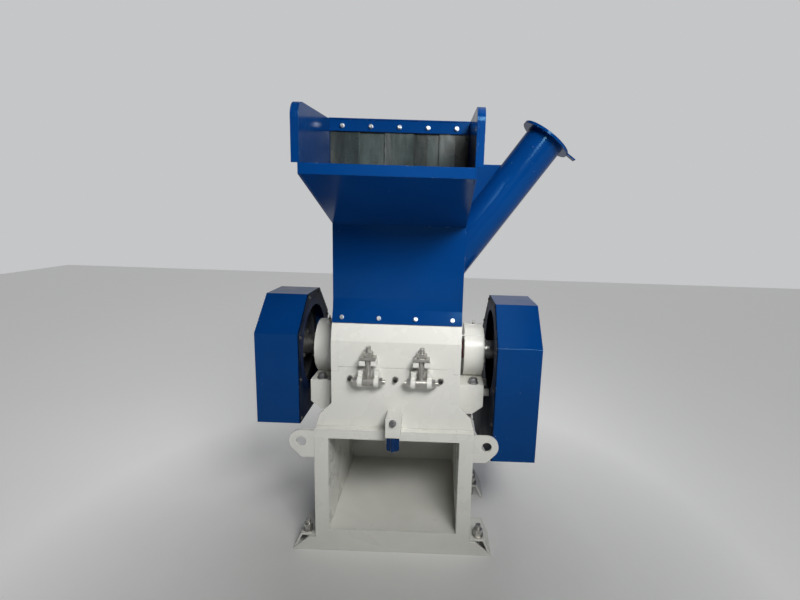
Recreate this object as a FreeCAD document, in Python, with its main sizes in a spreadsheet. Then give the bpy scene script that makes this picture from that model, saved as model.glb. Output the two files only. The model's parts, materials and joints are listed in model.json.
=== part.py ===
# Plastic scrap grinder: a welded base with an open bin bay, a split cutting chamber with a
# belt-driven rotor, a flywheel, swing-bolt clamps, a tray hopper and a slanted feed tube.
# X runs to the right along the rotor, Y runs back, Z is up; the origin is on the floor,
# on the centre line, in the front plane of the base.
import FreeCAD, Part
import math
import os
import re

import Sketcher
from FreeCAD import Placement, Rotation, Vector

doc = FreeCAD.newDocument("ScrapGrinder")
sheet = doc.addObject("Spreadsheet::Sheet", "Sizes")

SIZES = {
    # base cabinet
    "base_overhang": 62,
    "base_height": 530,
    "base_depth": 520,
    "base_plate": 8,
    "frame_face": 56,
    "frame_head": 38,
    "sill_height": 95,
    "bay_floor_rise": 22,
    "ledge_depth": 31,
    # feet and their anchors
    "foot_reach": 62,
    "foot_height": 66,
    "foot_length": 143,
    "foot_plate": 8,
    "toe_spread": 31,
    "toe_inset": 34,
    "anchor_reach": 38,
    "anchor_setback": 28,
    "anchor_radius": 10,
    "anchor_nut_radius": 19,
    "anchor_washer_height": 4,
    "anchor_nut_height": 26,
    "anchor_rise": 48,
    # lifting lugs
    "lug_plate": 12,
    "lug_reach": 51,
    "lug_drop": 53,
    "lug_hole_radius": 20,
    "lug_eye_radius": 46,
    "lug_tail": 66,
    # cutting chamber
    "chamber_half_width": 250,
    "side_plate": 28,
    "front_plate": 12,
    "lower_height": 246,
    "seam_step": 18,
    "seam_gap": 1,
    "flare_height": 94,
    "flare_bulge": 0.774,
    "upper_wall_height": 103,
    "bend_relief": 2,
    "crown_height": 119,
    "crown_inset": 44,
    # rotor
    "rotor_rise": 19,
    "shaft_radius": 40,
    "collar_wall": 3,
    "collar_clearance": 2,
    "collar_gap": 1,
    "knife_reach": 45,
    "knife_root_margin": 23,
    "rotor_end_clearance": 8,
    "knife_thickness": 14,
    "shaft_end_room": 30,
    "flywheel_width": 70,
    "pulley_width": 96,
    "groove_depth": 14,
    "groove_count": 4,
    # bed knives and screen
    "bed_clearance": 5,
    "bed_knife_depth": 71.3,
    "bed_knife_drop": 53,
    "bed_knife_height": 30,
    "screen_clearance": 8,
    "screen_sheet": 6,
    # bearings
    "bearing_gap": 20,
    "bearing_width": 78,
    "bearing_radius": 112,
    "running_clearance": 0.05,
    "pedestal_half_depth": 155,
    "pedestal_drop": 105,
    "pedestal_height": 91,
    "pedestal_margin": 3,
    "pedestal_toe_height": 33,
    "pedestal_toe_width": 42,
    # hopper
    "sheet_thickness": 5,
    "flange_drop": 52,
    "neck_bend_rise": 39,
    "neck_bend_inset": 5,
    "neck_height": 323,
    "tray_reach": 401,
    "tray_rise": 145,
    "lip_height": 31,
    "cheek_height": 166,
    "cheek_rise": 20,
    "cheek_corner_radius": 45,
    "rim_width": 18,
    "curtain_overhang": 44,
    "bar_drop": 2,
    "bar_height": 38,
    "bar_thickness": 6,
    "strip_count": 5,
    "strip_overlap": 8,
    "strip_margin": 1,
    "strip_thickness": 4,
    "strip_layer_gap": 0.5,
    "strip_floor_gap": 12,
    # feed tube
    "tube_radius": 75,
    "tube_wall": 4,
    "tube_setback": 115,
    "tube_root_rise": 252,
    "tube_run": 300,
    "tube_rise": 417,
    "tube_flange_width": 27,
    "tube_flange_thickness": 10,
    "tab_reach": 138,
    "tab_half_width": 14,
    "tab_thickness": 5,
    "tab_rise": 4,
    "web_drop": 121,
    # swing-bolt clamps
    "clamp_x": 101,
    "pivot_forward": 29,
    "pivot_drop": 45,
    "ear_thickness": 18,
    "ear_gap": 44,
    "ear_nose": 21,
    "ear_rise": 41,
    "eye_radius": 18,
    "eye_side_clearance": 1,
    "pin_radius": 9,
    "pin_nut_radius": 17,
    "pin_nut_thickness": 14,
    "pin_end": 10,
    "swing_bolt_radius": 9,
    "keeper_rise": 22,
    "keeper_thickness": 20,
    "keeper_nose": 16,
    "keeper_half_width": 33,
    "keeper_slot_clearance": 2,
    "washer_half_width": 30,
    "washer_half_depth": 20,
    "washer_height": 10,
    "washer_clearance": 3,
    "clamp_nut_radius": 19,
    "clamp_nut_height": 18,
    "bolt_standing": 48,
    # screen clamp on the base front
    "latch_half_width": 28,
    "latch_overhang": 52,
    "latch_height": 76,
    "latch_cap": 12,
    "grip_overhang": 30,
    "grip_radius": 26,
    "grip_length": 60,
    "grip_clearance": 2,
    "grip_screw_radius": 8,
    "grip_tip": 10,
    # guards
    "guard_sheet": 4,
    "guard_hole_share": 0.8,
    "left_guard_gap": 26.5,
    "left_guard_width": 170.5,
    "left_guard_setback": 35,
    "left_guard_room": 10,
    "left_guard_top_room": 18,
    "left_guard_bottom_room": 47,
    "left_shoulder_share": 0.453,
    "left_facet_share": 0.387,
    "right_guard_gap": 36,
    "right_guard_width": 173,
    "right_guard_lug_gap": 4,
    "right_guard_room": 39,
    "right_guard_top_room": 16,
    "right_guard_bottom_room": 179,
    "right_shoulder_share": 0.324,
    "right_facet_share": 0.43,
    "tail_reach": 145,
    "tail_corner": 40,
    "tail_rise": 190,
    "tail_drop": 140,
    "tail_front": 110,
    "spacer_radius": 16,
    "spacer_drop": 173,
    "spacer_offset_y": 60,
    # motor and belts
    "motor_setback": 280,
    "motor_z": 330,
    "motor_radius": 150,
    "motor_inset": 12,
    "motor_length": 490,
    "motor_foot_inset": 60,
    "motor_foot_half_width": 110,
    "motor_shaft_radius": 24,
    "terminal_box_start": 150,
    "terminal_box_length": 130,
    "terminal_box_half_width": 55,
    "terminal_box_height": 52,
    "shaft_passage_clearance": 8,
    "motor_pulley_radius": 80,
    "stand_plate": 12,
    "stand_half_width": 200,
    "stand_half_depth": 160,
    "stand_margin": 20,
    "belt_width": 12,
    "belt_half_thickness": 5,
}

# Places that follow from the sizes.
PLACES = {
    "base_half_width": "chamber_half_width + base_overhang",
    "rotor_y": "base_depth / 2",
    "bay_half_width": "base_half_width - frame_face",
    "bay_top_z": "base_height - frame_head",
    "foot_half_width": "base_half_width + foot_reach",
    "toe_half_width": "base_half_width + foot_reach + toe_spread",
    "anchor_x": "base_half_width + anchor_reach",
    "lug_hole_x": "base_half_width + lug_reach",
    "lug_hole_z": "base_height - lug_drop",
    "seam_z": "base_height + lower_height",
    "flare_top_z": "base_height + flare_height",
    "flare_mid_z": "base_height + flare_height / 2",
    "flare_mid_half_width": "chamber_half_width + (base_half_width - chamber_half_width) * flare_bulge",
    "housing_back_y": "base_depth - ledge_depth",
    "shoulder_z": "seam_z + upper_wall_height",
    "chamber_top_z": "shoulder_z + crown_height",
    "cheek_inside_x": "chamber_half_width - side_plate",
    "rotor_z": "seam_z + rotor_rise",
    "collar_radius": "shaft_radius + collar_wall",
    "bed_knife_top_z": "rotor_z - bed_knife_drop",
    "bed_knife_bottom_z": "bed_knife_top_z - bed_knife_height",
    "bed_knife_edge_y": "ledge_depth + front_plate + bed_knife_depth",
    "rotor_tip_radius": "sqrt((rotor_y - bed_knife_edge_y)^2 + bed_knife_drop^2) - bed_clearance",
    "rotor_core_radius": "rotor_tip_radius - knife_reach",
    "knife_root": "shaft_radius + knife_root_margin",
    "screen_radius": "rotor_tip_radius + screen_clearance",
    "bearing_inner_x": "chamber_half_width + bearing_gap",
    "bearing_outer_x": "bearing_inner_x + bearing_width",
    "pedestal_outer_x": "bearing_outer_x + pedestal_margin",
    "pedestal_top_z": "rotor_z - pedestal_drop",
    "pedestal_bottom_z": "pedestal_top_z - pedestal_height",
    "crown_y": "ledge_depth + crown_inset",
    "neck_front_y": "crown_y - sheet_thickness + neck_bend_inset",
    "neck_back_y": "base_depth - neck_front_y",
    "flange_bottom_z": "chamber_top_z - flange_drop",
    "flange_bottom_y": "ledge_depth + crown_inset * (1 - flange_drop / crown_height)",
    "neck_bend_z": "chamber_top_z + neck_bend_rise",
    "neck_top_z": "chamber_top_z + neck_height",
    "tray_front_y": "neck_front_y - tray_reach",
    "tray_front_z": "neck_top_z + tray_rise",
    "lip_top_z": "tray_front_z + lip_height",
    "cheek_front_z": "lip_top_z + cheek_height",
    "cheek_top_z": "cheek_front_z + cheek_rise",
    "curtain_y": "neck_front_y - curtain_overhang",
    "tray_half_width": "chamber_half_width - sheet_thickness",
    "bar_top_z": "cheek_top_z - bar_drop",
    "bar_bottom_z": "bar_top_z - bar_height",
    "strip_room": "2 * (tray_half_width - strip_margin) + (strip_count - 1) * strip_overlap",
    "strip_width": "strip_room / strip_count",
    "curtain_floor_z": "neck_top_z + tray_rise * curtain_overhang / tray_reach + sheet_thickness",
    "strip_bottom_z": "curtain_floor_z + strip_floor_gap",
    "tube_y": "neck_front_y + tube_setback",
    "tube_root_z": "chamber_top_z + tube_root_rise",
    "tube_length": "sqrt(tube_run^2 + tube_rise^2)",
    "web_top_z": "cheek_top_z - web_drop",
    "web_bottom_z": "tube_root_z + tube_radius * tube_length / tube_run",
    "pivot_y": "ledge_depth - pivot_forward",
    "pivot_z": "seam_z - pivot_drop",
    "eye_width": "ear_gap - 2 * eye_side_clearance",
    "keeper_bottom_z": "seam_z + keeper_rise",
    "keeper_top_z": "keeper_bottom_z + keeper_thickness",
    "keeper_slot_half_width": "swing_bolt_radius + keeper_slot_clearance",
    "washer_z": "keeper_top_z + washer_clearance",
    "latch_top_z": "base_height + latch_height",
    "grip_bottom_z": "base_height - grip_length",
    "left_guard_inner_x": "bearing_outer_x + left_guard_gap",
    "left_guard_outer_x": "left_guard_inner_x + left_guard_width",
    "left_guard_half": "rotor_y - left_guard_setback",
    "flywheel_radius": "left_guard_half - left_guard_room",
    "left_guard_bottom_z": "rotor_z - flywheel_radius - left_guard_bottom_room",
    "left_guard_shoulder_z": "rotor_z + left_guard_half * left_shoulder_share",
    "left_guard_facet": "left_guard_half * left_facet_share",
    "left_guard_top_z": "rotor_z + flywheel_radius + left_guard_top_room",
    "guard_hole_radius": "flywheel_radius * guard_hole_share",
    "right_guard_inner_x": "bearing_outer_x + right_guard_gap",
    "right_guard_outer_x": "right_guard_inner_x + right_guard_width",
    "right_guard_half": "rotor_y - lug_plate - right_guard_lug_gap",
    "pulley_radius": "right_guard_half - right_guard_room",
    "right_guard_bottom_z": "rotor_z - pulley_radius - right_guard_bottom_room",
    "right_guard_shoulder_z": "rotor_z + right_guard_half * right_shoulder_share",
    "right_guard_facet": "right_guard_half * right_facet_share",
    "right_guard_top_z": "rotor_z + pulley_radius + right_guard_top_room",
    "spacer_z": "rotor_z - spacer_drop",
    "pulley_x": "(right_guard_inner_x + right_guard_outer_x - pulley_width) / 2",
    "motor_y": "base_depth + motor_setback",
    "motor_outer_x": "base_half_width - motor_inset",
    "motor_inner_x": "motor_outer_x - motor_length",
    "stand_top_z": "motor_z - motor_radius",
}


def bound(expression):
    """Point every name in an expression at its cell of the sheet or at its derived place."""

    def target(word):
        name = word.group()
        if name in SIZES:
            return "Sizes." + name
        return "Places." + name if name in PLACES else name

    return re.sub(r"[a-z]\w*", target, expression)


for row, (alias, value) in enumerate(SIZES.items(), start=1):
    sheet.set(f"A{row}", alias)
    sheet.set(f"B{row}", str(value))
    sheet.setAlias(f"B{row}", alias)
doc.recompute()

places = doc.addObject("App::FeaturePython", "Places")
for name in PLACES:
    places.addProperty("App::PropertyFloat", name, "Places")
for name, expression in PLACES.items():
    places.setExpression(name, bound(expression))
doc.recompute()

X_AXIS = Vector(1, 0, 0)
Y_AXIS = Vector(0, 1, 0)
Z_AXIS = Vector(0, 0, 1)
SIDES = {"left": -1, "right": 1}
sub_parts = []


def sub_part(item, name):
    """Name a finished piece and put it on the list of sub-parts."""
    item.Label = name
    sub_parts.append(item)
    return item


def outline(body, plane, points, start):
    """Closed polygon on one of the body's own planes, each corner bound to the sheet."""
    sketch = body.newObject("Sketcher::SketchObject", body.Name + "_outline")
    support = next(item for item in body.Origin.OriginFeatures if item.Role == plane)
    sketch.AttachmentSupport = [(support, "")]
    sketch.MapMode = "FlatFace"
    count = len(points)
    turn = 2 * math.pi / count
    ring = [Vector(math.cos(turn * i), math.sin(turn * i), 0) * 100 for i in range(count)]
    for i in range(count):
        sketch.addGeometry(Part.LineSegment(ring[i], ring[(i + 1) % count]), False)
    for i in range(count):
        sketch.addConstraint(Sketcher.Constraint("Coincident", i, 2, (i + 1) % count, 1))
    for i, corner in enumerate(points):
        for direction, expression in zip(("DistanceX", "DistanceY"), corner):
            index = sketch.addConstraint(Sketcher.Constraint(direction, -1, 1, i, 1, 1.0))
            sketch.setExpression(f"Constraints[{index}]", bound(expression))
    sign = "-" if plane == "XZ_Plane" else ""
    sketch.setExpression("AttachmentOffset.Base.z", bound(f"{sign}({start})"))
    return sketch


def plate(name, plane, points, start, thickness):
    """Flat piece: an outline padded towards +X, +Y or +Z from its start."""
    body = doc.addObject("PartDesign::Body", name)
    pad = body.newObject("PartDesign::Pad", name + "_pad")
    pad.Profile = outline(body, plane, points, start)
    pad.Reversed = plane == "XZ_Plane"
    pad.setExpression("Length", bound(thickness))
    return body


def block(name, low, high):
    """Box between two corners given as expressions."""
    box = doc.addObject("Part::Box", name)
    for axis, side, start, end in zip("xyz", ("Length", "Width", "Height"), low, high):
        box.setExpression(f"Placement.Base.{axis}", bound(start))
        box.setExpression(side, bound(f"({end}) - ({start})"))
    return box


def rod(name, axis, radius, start, length):
    """Cylinder along X, Y or Z from its start point."""
    cylinder = doc.addObject("Part::Cylinder", name)
    cylinder.Placement = Placement(Vector(), Rotation(Z_AXIS, axis))
    for letter, expression in zip("xyz", start):
        cylinder.setExpression(f"Placement.Base.{letter}", bound(expression))
    cylinder.setExpression("Radius", bound(radius))
    cylinder.setExpression("Height", bound(length))
    return cylinder


def hexagon(name, axis, radius, start, length):
    """Hexagonal nut or bolt head along X, Y or Z; the radius is across the corners."""
    prism = doc.addObject("Part::Prism", name)
    prism.Polygon = 6
    prism.Placement = Placement(Vector(), Rotation(Z_AXIS, axis))
    for letter, expression in zip("xyz", start):
        prism.setExpression(f"Placement.Base.{letter}", bound(expression))
    prism.setExpression("Circumradius", bound(radius))
    prism.setExpression("Height", bound(length))
    return prism


def cut(name, base, tool):
    """Base less tool."""
    result = doc.addObject("Part::Cut", name)
    result.Base = base
    result.Tool = tool
    return result


def fuse(name, shapes):
    """Pieces welded or forged as one."""
    result = doc.addObject("Part::MultiFuse", name)
    result.Shapes = shapes
    result.Refine = True
    return result


def group(name, shapes):
    """Like pieces that don't touch, kept in one sub-part."""
    result = doc.addObject("Part::Compound", name)
    result.Links = shapes
    return result


def rectangle(x0, y0, x1, y1):
    """Corners of a rectangle for an outline."""
    return [(x0, y0), (x1, y0), (x1, y1), (x0, y1)]


def mirrored(x, sign):
    """The expression of a distance from the middle, on the left or right side."""
    return f"-({x})" if sign < 0 else x


def start_of(near, far, sign):
    """Lower end in X of a piece between two distances from the middle."""
    return f"-({far})" if sign < 0 else near


# Base cabinet: front frame with the bay opening and toes, side, back, floor and top plates.
def base_cabinet():
    frame = plate(
        "front_frame_blank",
        "XZ_Plane",
        [
            ("-toe_half_width", "0"),
            ("toe_half_width", "0"),
            ("foot_half_width - toe_inset", "foot_height - foot_plate"),
            ("base_half_width", "foot_height - foot_plate"),
            ("base_half_width", "base_height - base_plate"),
            ("-base_half_width", "base_height - base_plate"),
            ("-base_half_width", "foot_height - foot_plate"),
            ("-(foot_half_width - toe_inset)", "foot_height - foot_plate"),
        ],
        "0",
        "base_plate",
    )
    opening = block(
        "bay_opening",
        ("-bay_half_width", "-base_plate", "sill_height"),
        ("bay_half_width", "2 * base_plate", "bay_top_z"),
    )
    sub_part(cut("front_frame", frame, opening), "base_front_frame")
    for side, sign in SIDES.items():
        wall = block(
            f"{side}_base_wall",
            (start_of("base_half_width - base_plate", "base_half_width", sign), "base_plate", "0"),
            (start_of("base_half_width", "base_half_width - base_plate", sign),
             "base_depth - base_plate", "base_height - base_plate"),
        )
        sub_part(wall, f"base_{side}_wall")
    liners = [
        block(
            f"{side}_bay_liner",
            (start_of("bay_half_width", "bay_half_width + base_plate", sign), "base_plate",
             "sill_height - base_plate"),
            (start_of("bay_half_width + base_plate", "bay_half_width", sign),
             "base_depth - base_plate", "base_height - base_plate"),
        )
        for side, sign in SIDES.items()
    ]
    sub_part(group("bay_liners", liners), "bay_side_liners")
    back = block(
        "base_back",
        ("-base_half_width", "base_depth - base_plate", "0"),
        ("base_half_width", "base_depth", "base_height - base_plate"),
    )
    sub_part(back, "base_back_wall")
    slope = [
        ("base_plate", "sill_height - base_plate"),
        ("base_depth - base_plate", "sill_height - base_plate + bay_floor_rise"),
        ("base_depth - base_plate", "sill_height + bay_floor_rise"),
        ("base_plate", "sill_height"),
    ]
    floor = plate("base_floor_sheet", "YZ_Plane", slope, "-bay_half_width", "2 * bay_half_width")
    sub_part(floor, "base_floor")
    top = plate(
        "top_blank",
        "XY_Plane",
        rectangle("-base_half_width", "0", "base_half_width", "base_depth"),
        "base_height - base_plate",
        "base_plate",
    )
    drop = block(
        "top_drop_opening",
        ("-cheek_inside_x", "ledge_depth + front_plate", "base_height - 2 * base_plate"),
        ("cheek_inside_x", "housing_back_y - front_plate", "base_height + base_plate"),
    )
    sub_part(cut("top_plate", top, drop), "base_top_plate")


# Feet: a flat shelf with a sloping toe plate at each corner, bolted to the floor.
def feet():
    pads = []
    bolts = []
    for side, sign in SIDES.items():
        for end, start in (("front", "base_plate"), ("rear", "base_depth - foot_length")):
            profile = [
                ("toe_half_width", "0"),
                ("foot_half_width", "foot_height"),
                ("base_half_width", "foot_height"),
                ("base_half_width", "foot_height - foot_plate"),
                ("foot_half_width - 0.7 * foot_plate", "foot_height - foot_plate"),
                ("toe_half_width - 1.1 * foot_plate", "0"),
            ]
            profile = [(mirrored(x, sign), z) for x, z in profile]
            blank = plate(f"{side}_{end}_foot_blank", "XZ_Plane", profile, start, "foot_length - base_plate")
            bolt_y = f"{start} + anchor_setback"
            bolt_x = mirrored("anchor_x", sign)
            hole = rod(
                f"{side}_{end}_foot_hole", Z_AXIS, "anchor_radius + 1",
                (bolt_x, bolt_y, "0"), "2 * foot_height",
            )
            pads.append(cut(f"{side}_{end}_foot_pad", blank, hole))
            shank = rod(
                f"{side}_{end}_anchor_shank", Z_AXIS, "anchor_radius",
                (bolt_x, bolt_y, "0"), "foot_height + anchor_rise",
            )
            washer = rod(
                f"{side}_{end}_anchor_washer", Z_AXIS, "1.25 * anchor_nut_radius",
                (bolt_x, bolt_y, "foot_height"), "anchor_washer_height",
            )
            nut = hexagon(
                f"{side}_{end}_anchor_nut", Z_AXIS, "anchor_nut_radius",
                (bolt_x, bolt_y, "foot_height + anchor_washer_height"), "anchor_nut_height",
            )
            bolts.append(fuse(f"{side}_{end}_anchor", [shank, washer, nut]))
    sub_part(group("pads", pads), "foot_pads")
    sub_part(group("anchors", bolts), "foot_bolts")


# Lifting lugs: plates with a round eye, welded to the base walls near the top.
def lifting_lugs():
    for side, sign in SIDES.items():
        profile = [
            ("base_half_width", "lug_hole_z - lug_tail"),
            ("lug_hole_x", "lug_hole_z - lug_tail"),
            ("lug_hole_x + lug_eye_radius * sin(55)", "lug_hole_z - lug_eye_radius * cos(55)"),
            ("lug_hole_x", "lug_hole_z + lug_eye_radius"),
            ("base_half_width", "lug_hole_z + lug_eye_radius"),
        ]
        profile = [(mirrored(x, sign), z) for x, z in profile]
        blank = plate(f"{side}_lug_blank", "XZ_Plane", profile, "0", "lug_plate")
        eye = rod(
            f"{side}_lug_eye", Y_AXIS, "lug_hole_radius",
            (mirrored("lug_hole_x", sign), "-lug_plate", "lug_hole_z"), "3 * lug_plate",
        )
        disc = rod(
            f"{side}_lug_disc", Y_AXIS, "lug_eye_radius", (mirrored("lug_hole_x", sign), "0", "lug_hole_z"),
            "lug_plate",
        )
        sub_part(cut(f"{side}_lug", fuse(f"{side}_lug_plate", [blank, disc]), eye), f"{side}_lifting_lug")


# Cutting chamber: flared lower front and back, thick upper cheeks, and bent upper plates.
def chamber():
    flared = [
        ("-base_half_width", "base_height"),
        ("base_half_width", "base_height"),
        ("flare_mid_half_width", "flare_mid_z"),
        ("chamber_half_width", "flare_top_z"),
        ("chamber_half_width", "seam_z - seam_step"),
        ("cheek_inside_x", "seam_z - seam_step"),
        ("cheek_inside_x", "seam_z"),
        ("-cheek_inside_x", "seam_z"),
        ("-cheek_inside_x", "seam_z - seam_step"),
        ("-chamber_half_width", "seam_z - seam_step"),
        ("-chamber_half_width", "flare_top_z"),
        ("-flare_mid_half_width", "flare_mid_z"),
    ]
    sub_part(plate("lower_front", "XZ_Plane", flared, "ledge_depth", "front_plate"), "lower_housing_front")
    sub_part(
        plate("lower_back", "XZ_Plane", flared, "housing_back_y - front_plate", "front_plate"),
        "lower_housing_back",
    )
    collar_hole = ("collar_radius + collar_clearance", "rotor_y", "rotor_z")
    for side, sign in SIDES.items():
        inner = start_of("cheek_inside_x", "chamber_half_width", sign)
        lower = plate(
            f"{side}_lower_cheek_blank",
            "YZ_Plane",
            rectangle(
                "ledge_depth + front_plate", "base_height",
                "housing_back_y - front_plate", "seam_z - seam_step",
            ),
            inner,
            "side_plate",
        )
        notch = rod(
            f"{side}_lower_notch", X_AXIS, collar_hole[0],
            (f"{inner} - side_plate", collar_hole[1], collar_hole[2]), "3 * side_plate",
        )
        sub_part(cut(f"{side}_lower_cheek", lower, notch), f"lower_housing_{side}")
        upper = plate(
            f"{side}_upper_cheek_blank",
            "YZ_Plane",
            [
                ("ledge_depth", "seam_z - seam_step + seam_gap"),
                ("housing_back_y", "seam_z - seam_step + seam_gap"),
                ("housing_back_y", "shoulder_z"),
                ("housing_back_y - crown_inset", "chamber_top_z"),
                ("ledge_depth + crown_inset", "chamber_top_z"),
                ("ledge_depth", "shoulder_z"),
            ],
            inner,
            "side_plate",
        )
        bore = rod(
            f"{side}_upper_bore", X_AXIS, collar_hole[0],
            (f"{inner} - side_plate", collar_hole[1], collar_hole[2]), "3 * side_plate",
        )
        slot = block(
            f"{side}_upper_slot",
            (f"{inner} - side_plate", f"rotor_y - ({collar_hole[0]})", "flare_top_z"),
            (f"{inner} + 2 * side_plate", f"rotor_y + ({collar_hole[0]})", "rotor_z"),
        )
        opening = fuse(f"{side}_upper_shaft_slot", [bore, slot])
        sub_part(cut(f"{side}_upper_cheek", upper, opening), f"upper_housing_{side}")
    bends = {
        "front": lambda y: f"ledge_depth + {y}",
        "back": lambda y: f"housing_back_y - ({y})",
    }
    for end, place in bends.items():
        bent = [
            (place("0"), "seam_z + seam_gap"),
            (place("front_plate"), "seam_z + seam_gap"),
            (place("front_plate"), "shoulder_z - bend_relief"),
            (place("front_plate + crown_inset"), "chamber_top_z"),
            (place("crown_inset"), "chamber_top_z"),
            (place("0"), "shoulder_z"),
        ]
        shell = plate(
            f"upper_{end}", "YZ_Plane", bent,
            "-cheek_inside_x", "2 * cheek_inside_x",
        )
        sub_part(shell, f"upper_housing_{end}")


# Rotor: shaft with its sealing collars, a slotted core, three knives, flywheel and pulley.
def rotor():
    middle = ("rotor_y", "rotor_z")
    inside = "cheek_inside_x - rotor_end_clearance"
    shaft = rod(
        "shaft_bar", X_AXIS, "shaft_radius", ("shaft_end_room - left_guard_outer_x", *middle),
        "left_guard_outer_x + right_guard_outer_x - 2 * shaft_end_room",
    )
    collars = [
        rod(
            f"{side}_collar", X_AXIS, "collar_radius",
            (start_of("cheek_inside_x", "bearing_inner_x - collar_gap", sign), *middle),
            "bearing_inner_x - collar_gap - cheek_inside_x",
        )
        for side, sign in SIDES.items()
    ]
    sub_part(fuse("shaft_with_collars", [shaft, *collars]), "rotor_shaft")
    core = rod("core_drum", X_AXIS, "rotor_core_radius", (f"-({inside})", *middle), f"2 * ({inside})")
    core_bore = rod(
        "core_bore", X_AXIS, "shaft_radius", (f"-2 * ({inside})", *middle), f"4 * ({inside})",
    )
    seats = []
    knives = []
    for turn in (0, 120, 240):
        seat = block(
            f"knife_seat_{turn}",
            (f"-2 * ({inside})", "-knife_thickness / 2", "knife_root"),
            (f"2 * ({inside})", "knife_thickness / 2", "2 * rotor_core_radius"),
        )
        knife = block(
            f"knife_blank_{turn}",
            (f"-({inside})", "-knife_thickness / 2", "knife_root"),
            (inside, "knife_thickness / 2", "rotor_tip_radius"),
        )
        for holder, items in ((seats, seat), (knives, knife)):
            holder.append(turned(items, turn))
    slots = fuse("knife_slots", seats)
    sub_part(cut("rotor_body", cut("core_tube", core, core_bore), slots), "rotor_core")
    sub_part(group("knife_set", knives), "rotor_knives")
    wheel = rod(
        "wheel_disc", X_AXIS, "flywheel_radius",
        ("-(left_guard_inner_x + left_guard_outer_x + flywheel_width) / 2", *middle), "flywheel_width",
    )
    wheel_bore = rod(
        "wheel_bore", X_AXIS, "shaft_radius", ("-left_guard_outer_x", *middle),
        "left_guard_outer_x - left_guard_inner_x",
    )
    sub_part(cut("wheel", wheel, wheel_bore), "flywheel")


def turned(item, angle):
    """A piece drawn above the rotor axis, turned about it into place."""
    holder = doc.addObject("Part::Compound", f"{item.Name}_turned")
    holder.Links = [item]
    holder.Placement = Placement(Vector(), Rotation(X_AXIS, angle))
    holder.setExpression("Placement.Base.y", bound("rotor_y"))
    holder.setExpression("Placement.Base.z", bound("rotor_z"))
    return holder


# Drive pulley: a grooved rim turned about the shaft.
def grooved_wheel(name, centre_x, centre_y, centre_z, radius, bore, width):
    body = doc.addObject("PartDesign::Body", name)
    groove_step = f"({width}) / groove_count"
    corners = [("0", bore), ("0", radius)]
    for groove in range(SIZES["groove_count"]):
        corners += [
            (f"{groove_step} * {groove + 0.15}", radius),
            (f"{groove_step} * {groove + 0.35}", f"{radius} - groove_depth"),
            (f"{groove_step} * {groove + 0.65}", f"{radius} - groove_depth"),
            (f"{groove_step} * {groove + 0.85}", radius),
        ]
    corners += [(width, radius), (width, bore)]
    sketch = outline(body, "XZ_Plane", corners, "0")
    revolution = body.newObject("PartDesign::Revolution", name + "_turning")
    revolution.Profile = sketch
    revolution.ReferenceAxis = (sketch, ["H_Axis"])
    revolution.Angle = 360
    for axis, expression in zip("xyz", (centre_x, centre_y, centre_z)):
        body.setExpression(f"Placement.Base.{axis}", bound(expression))
    return body


# Bearings: round split housings on boxed pedestals beside the chamber.
def bearings():
    for side, sign in SIDES.items():
        profile = [
            ("chamber_half_width", "pedestal_top_z"),
            ("pedestal_outer_x", "pedestal_top_z"),
            ("pedestal_outer_x", "pedestal_bottom_z"),
            ("pedestal_outer_x - pedestal_toe_width", "pedestal_bottom_z - pedestal_toe_height"),
            ("chamber_half_width", "pedestal_bottom_z - pedestal_toe_height"),
        ]
        profile = [(mirrored(x, sign), z) for x, z in profile]
        seat = plate(
            f"{side}_pedestal_blank", "XZ_Plane", profile, "rotor_y - pedestal_half_depth",
            "2 * pedestal_half_depth",
        )
        room = rod(
            f"{side}_pedestal_saddle", X_AXIS, "bearing_radius",
            ("-pedestal_outer_x", "rotor_y", "rotor_z"), "2 * pedestal_outer_x",
        )
        sub_part(cut(f"{side}_pedestal", seat, room), f"{side}_bearing_pedestal")
        inner = start_of("bearing_inner_x", "bearing_outer_x", sign)
        drum = rod(
            f"{side}_bearing_drum", X_AXIS, "bearing_radius", (inner, "rotor_y", "rotor_z"), "bearing_width",
        )
        bore = rod(
            f"{side}_bearing_bore", X_AXIS, "shaft_radius + running_clearance",
            (f"{inner} - bearing_width", "rotor_y", "rotor_z"), "3 * bearing_width",
        )
        sub_part(cut(f"{side}_bearing", drum, bore), f"{side}_bearing_housing")


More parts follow.
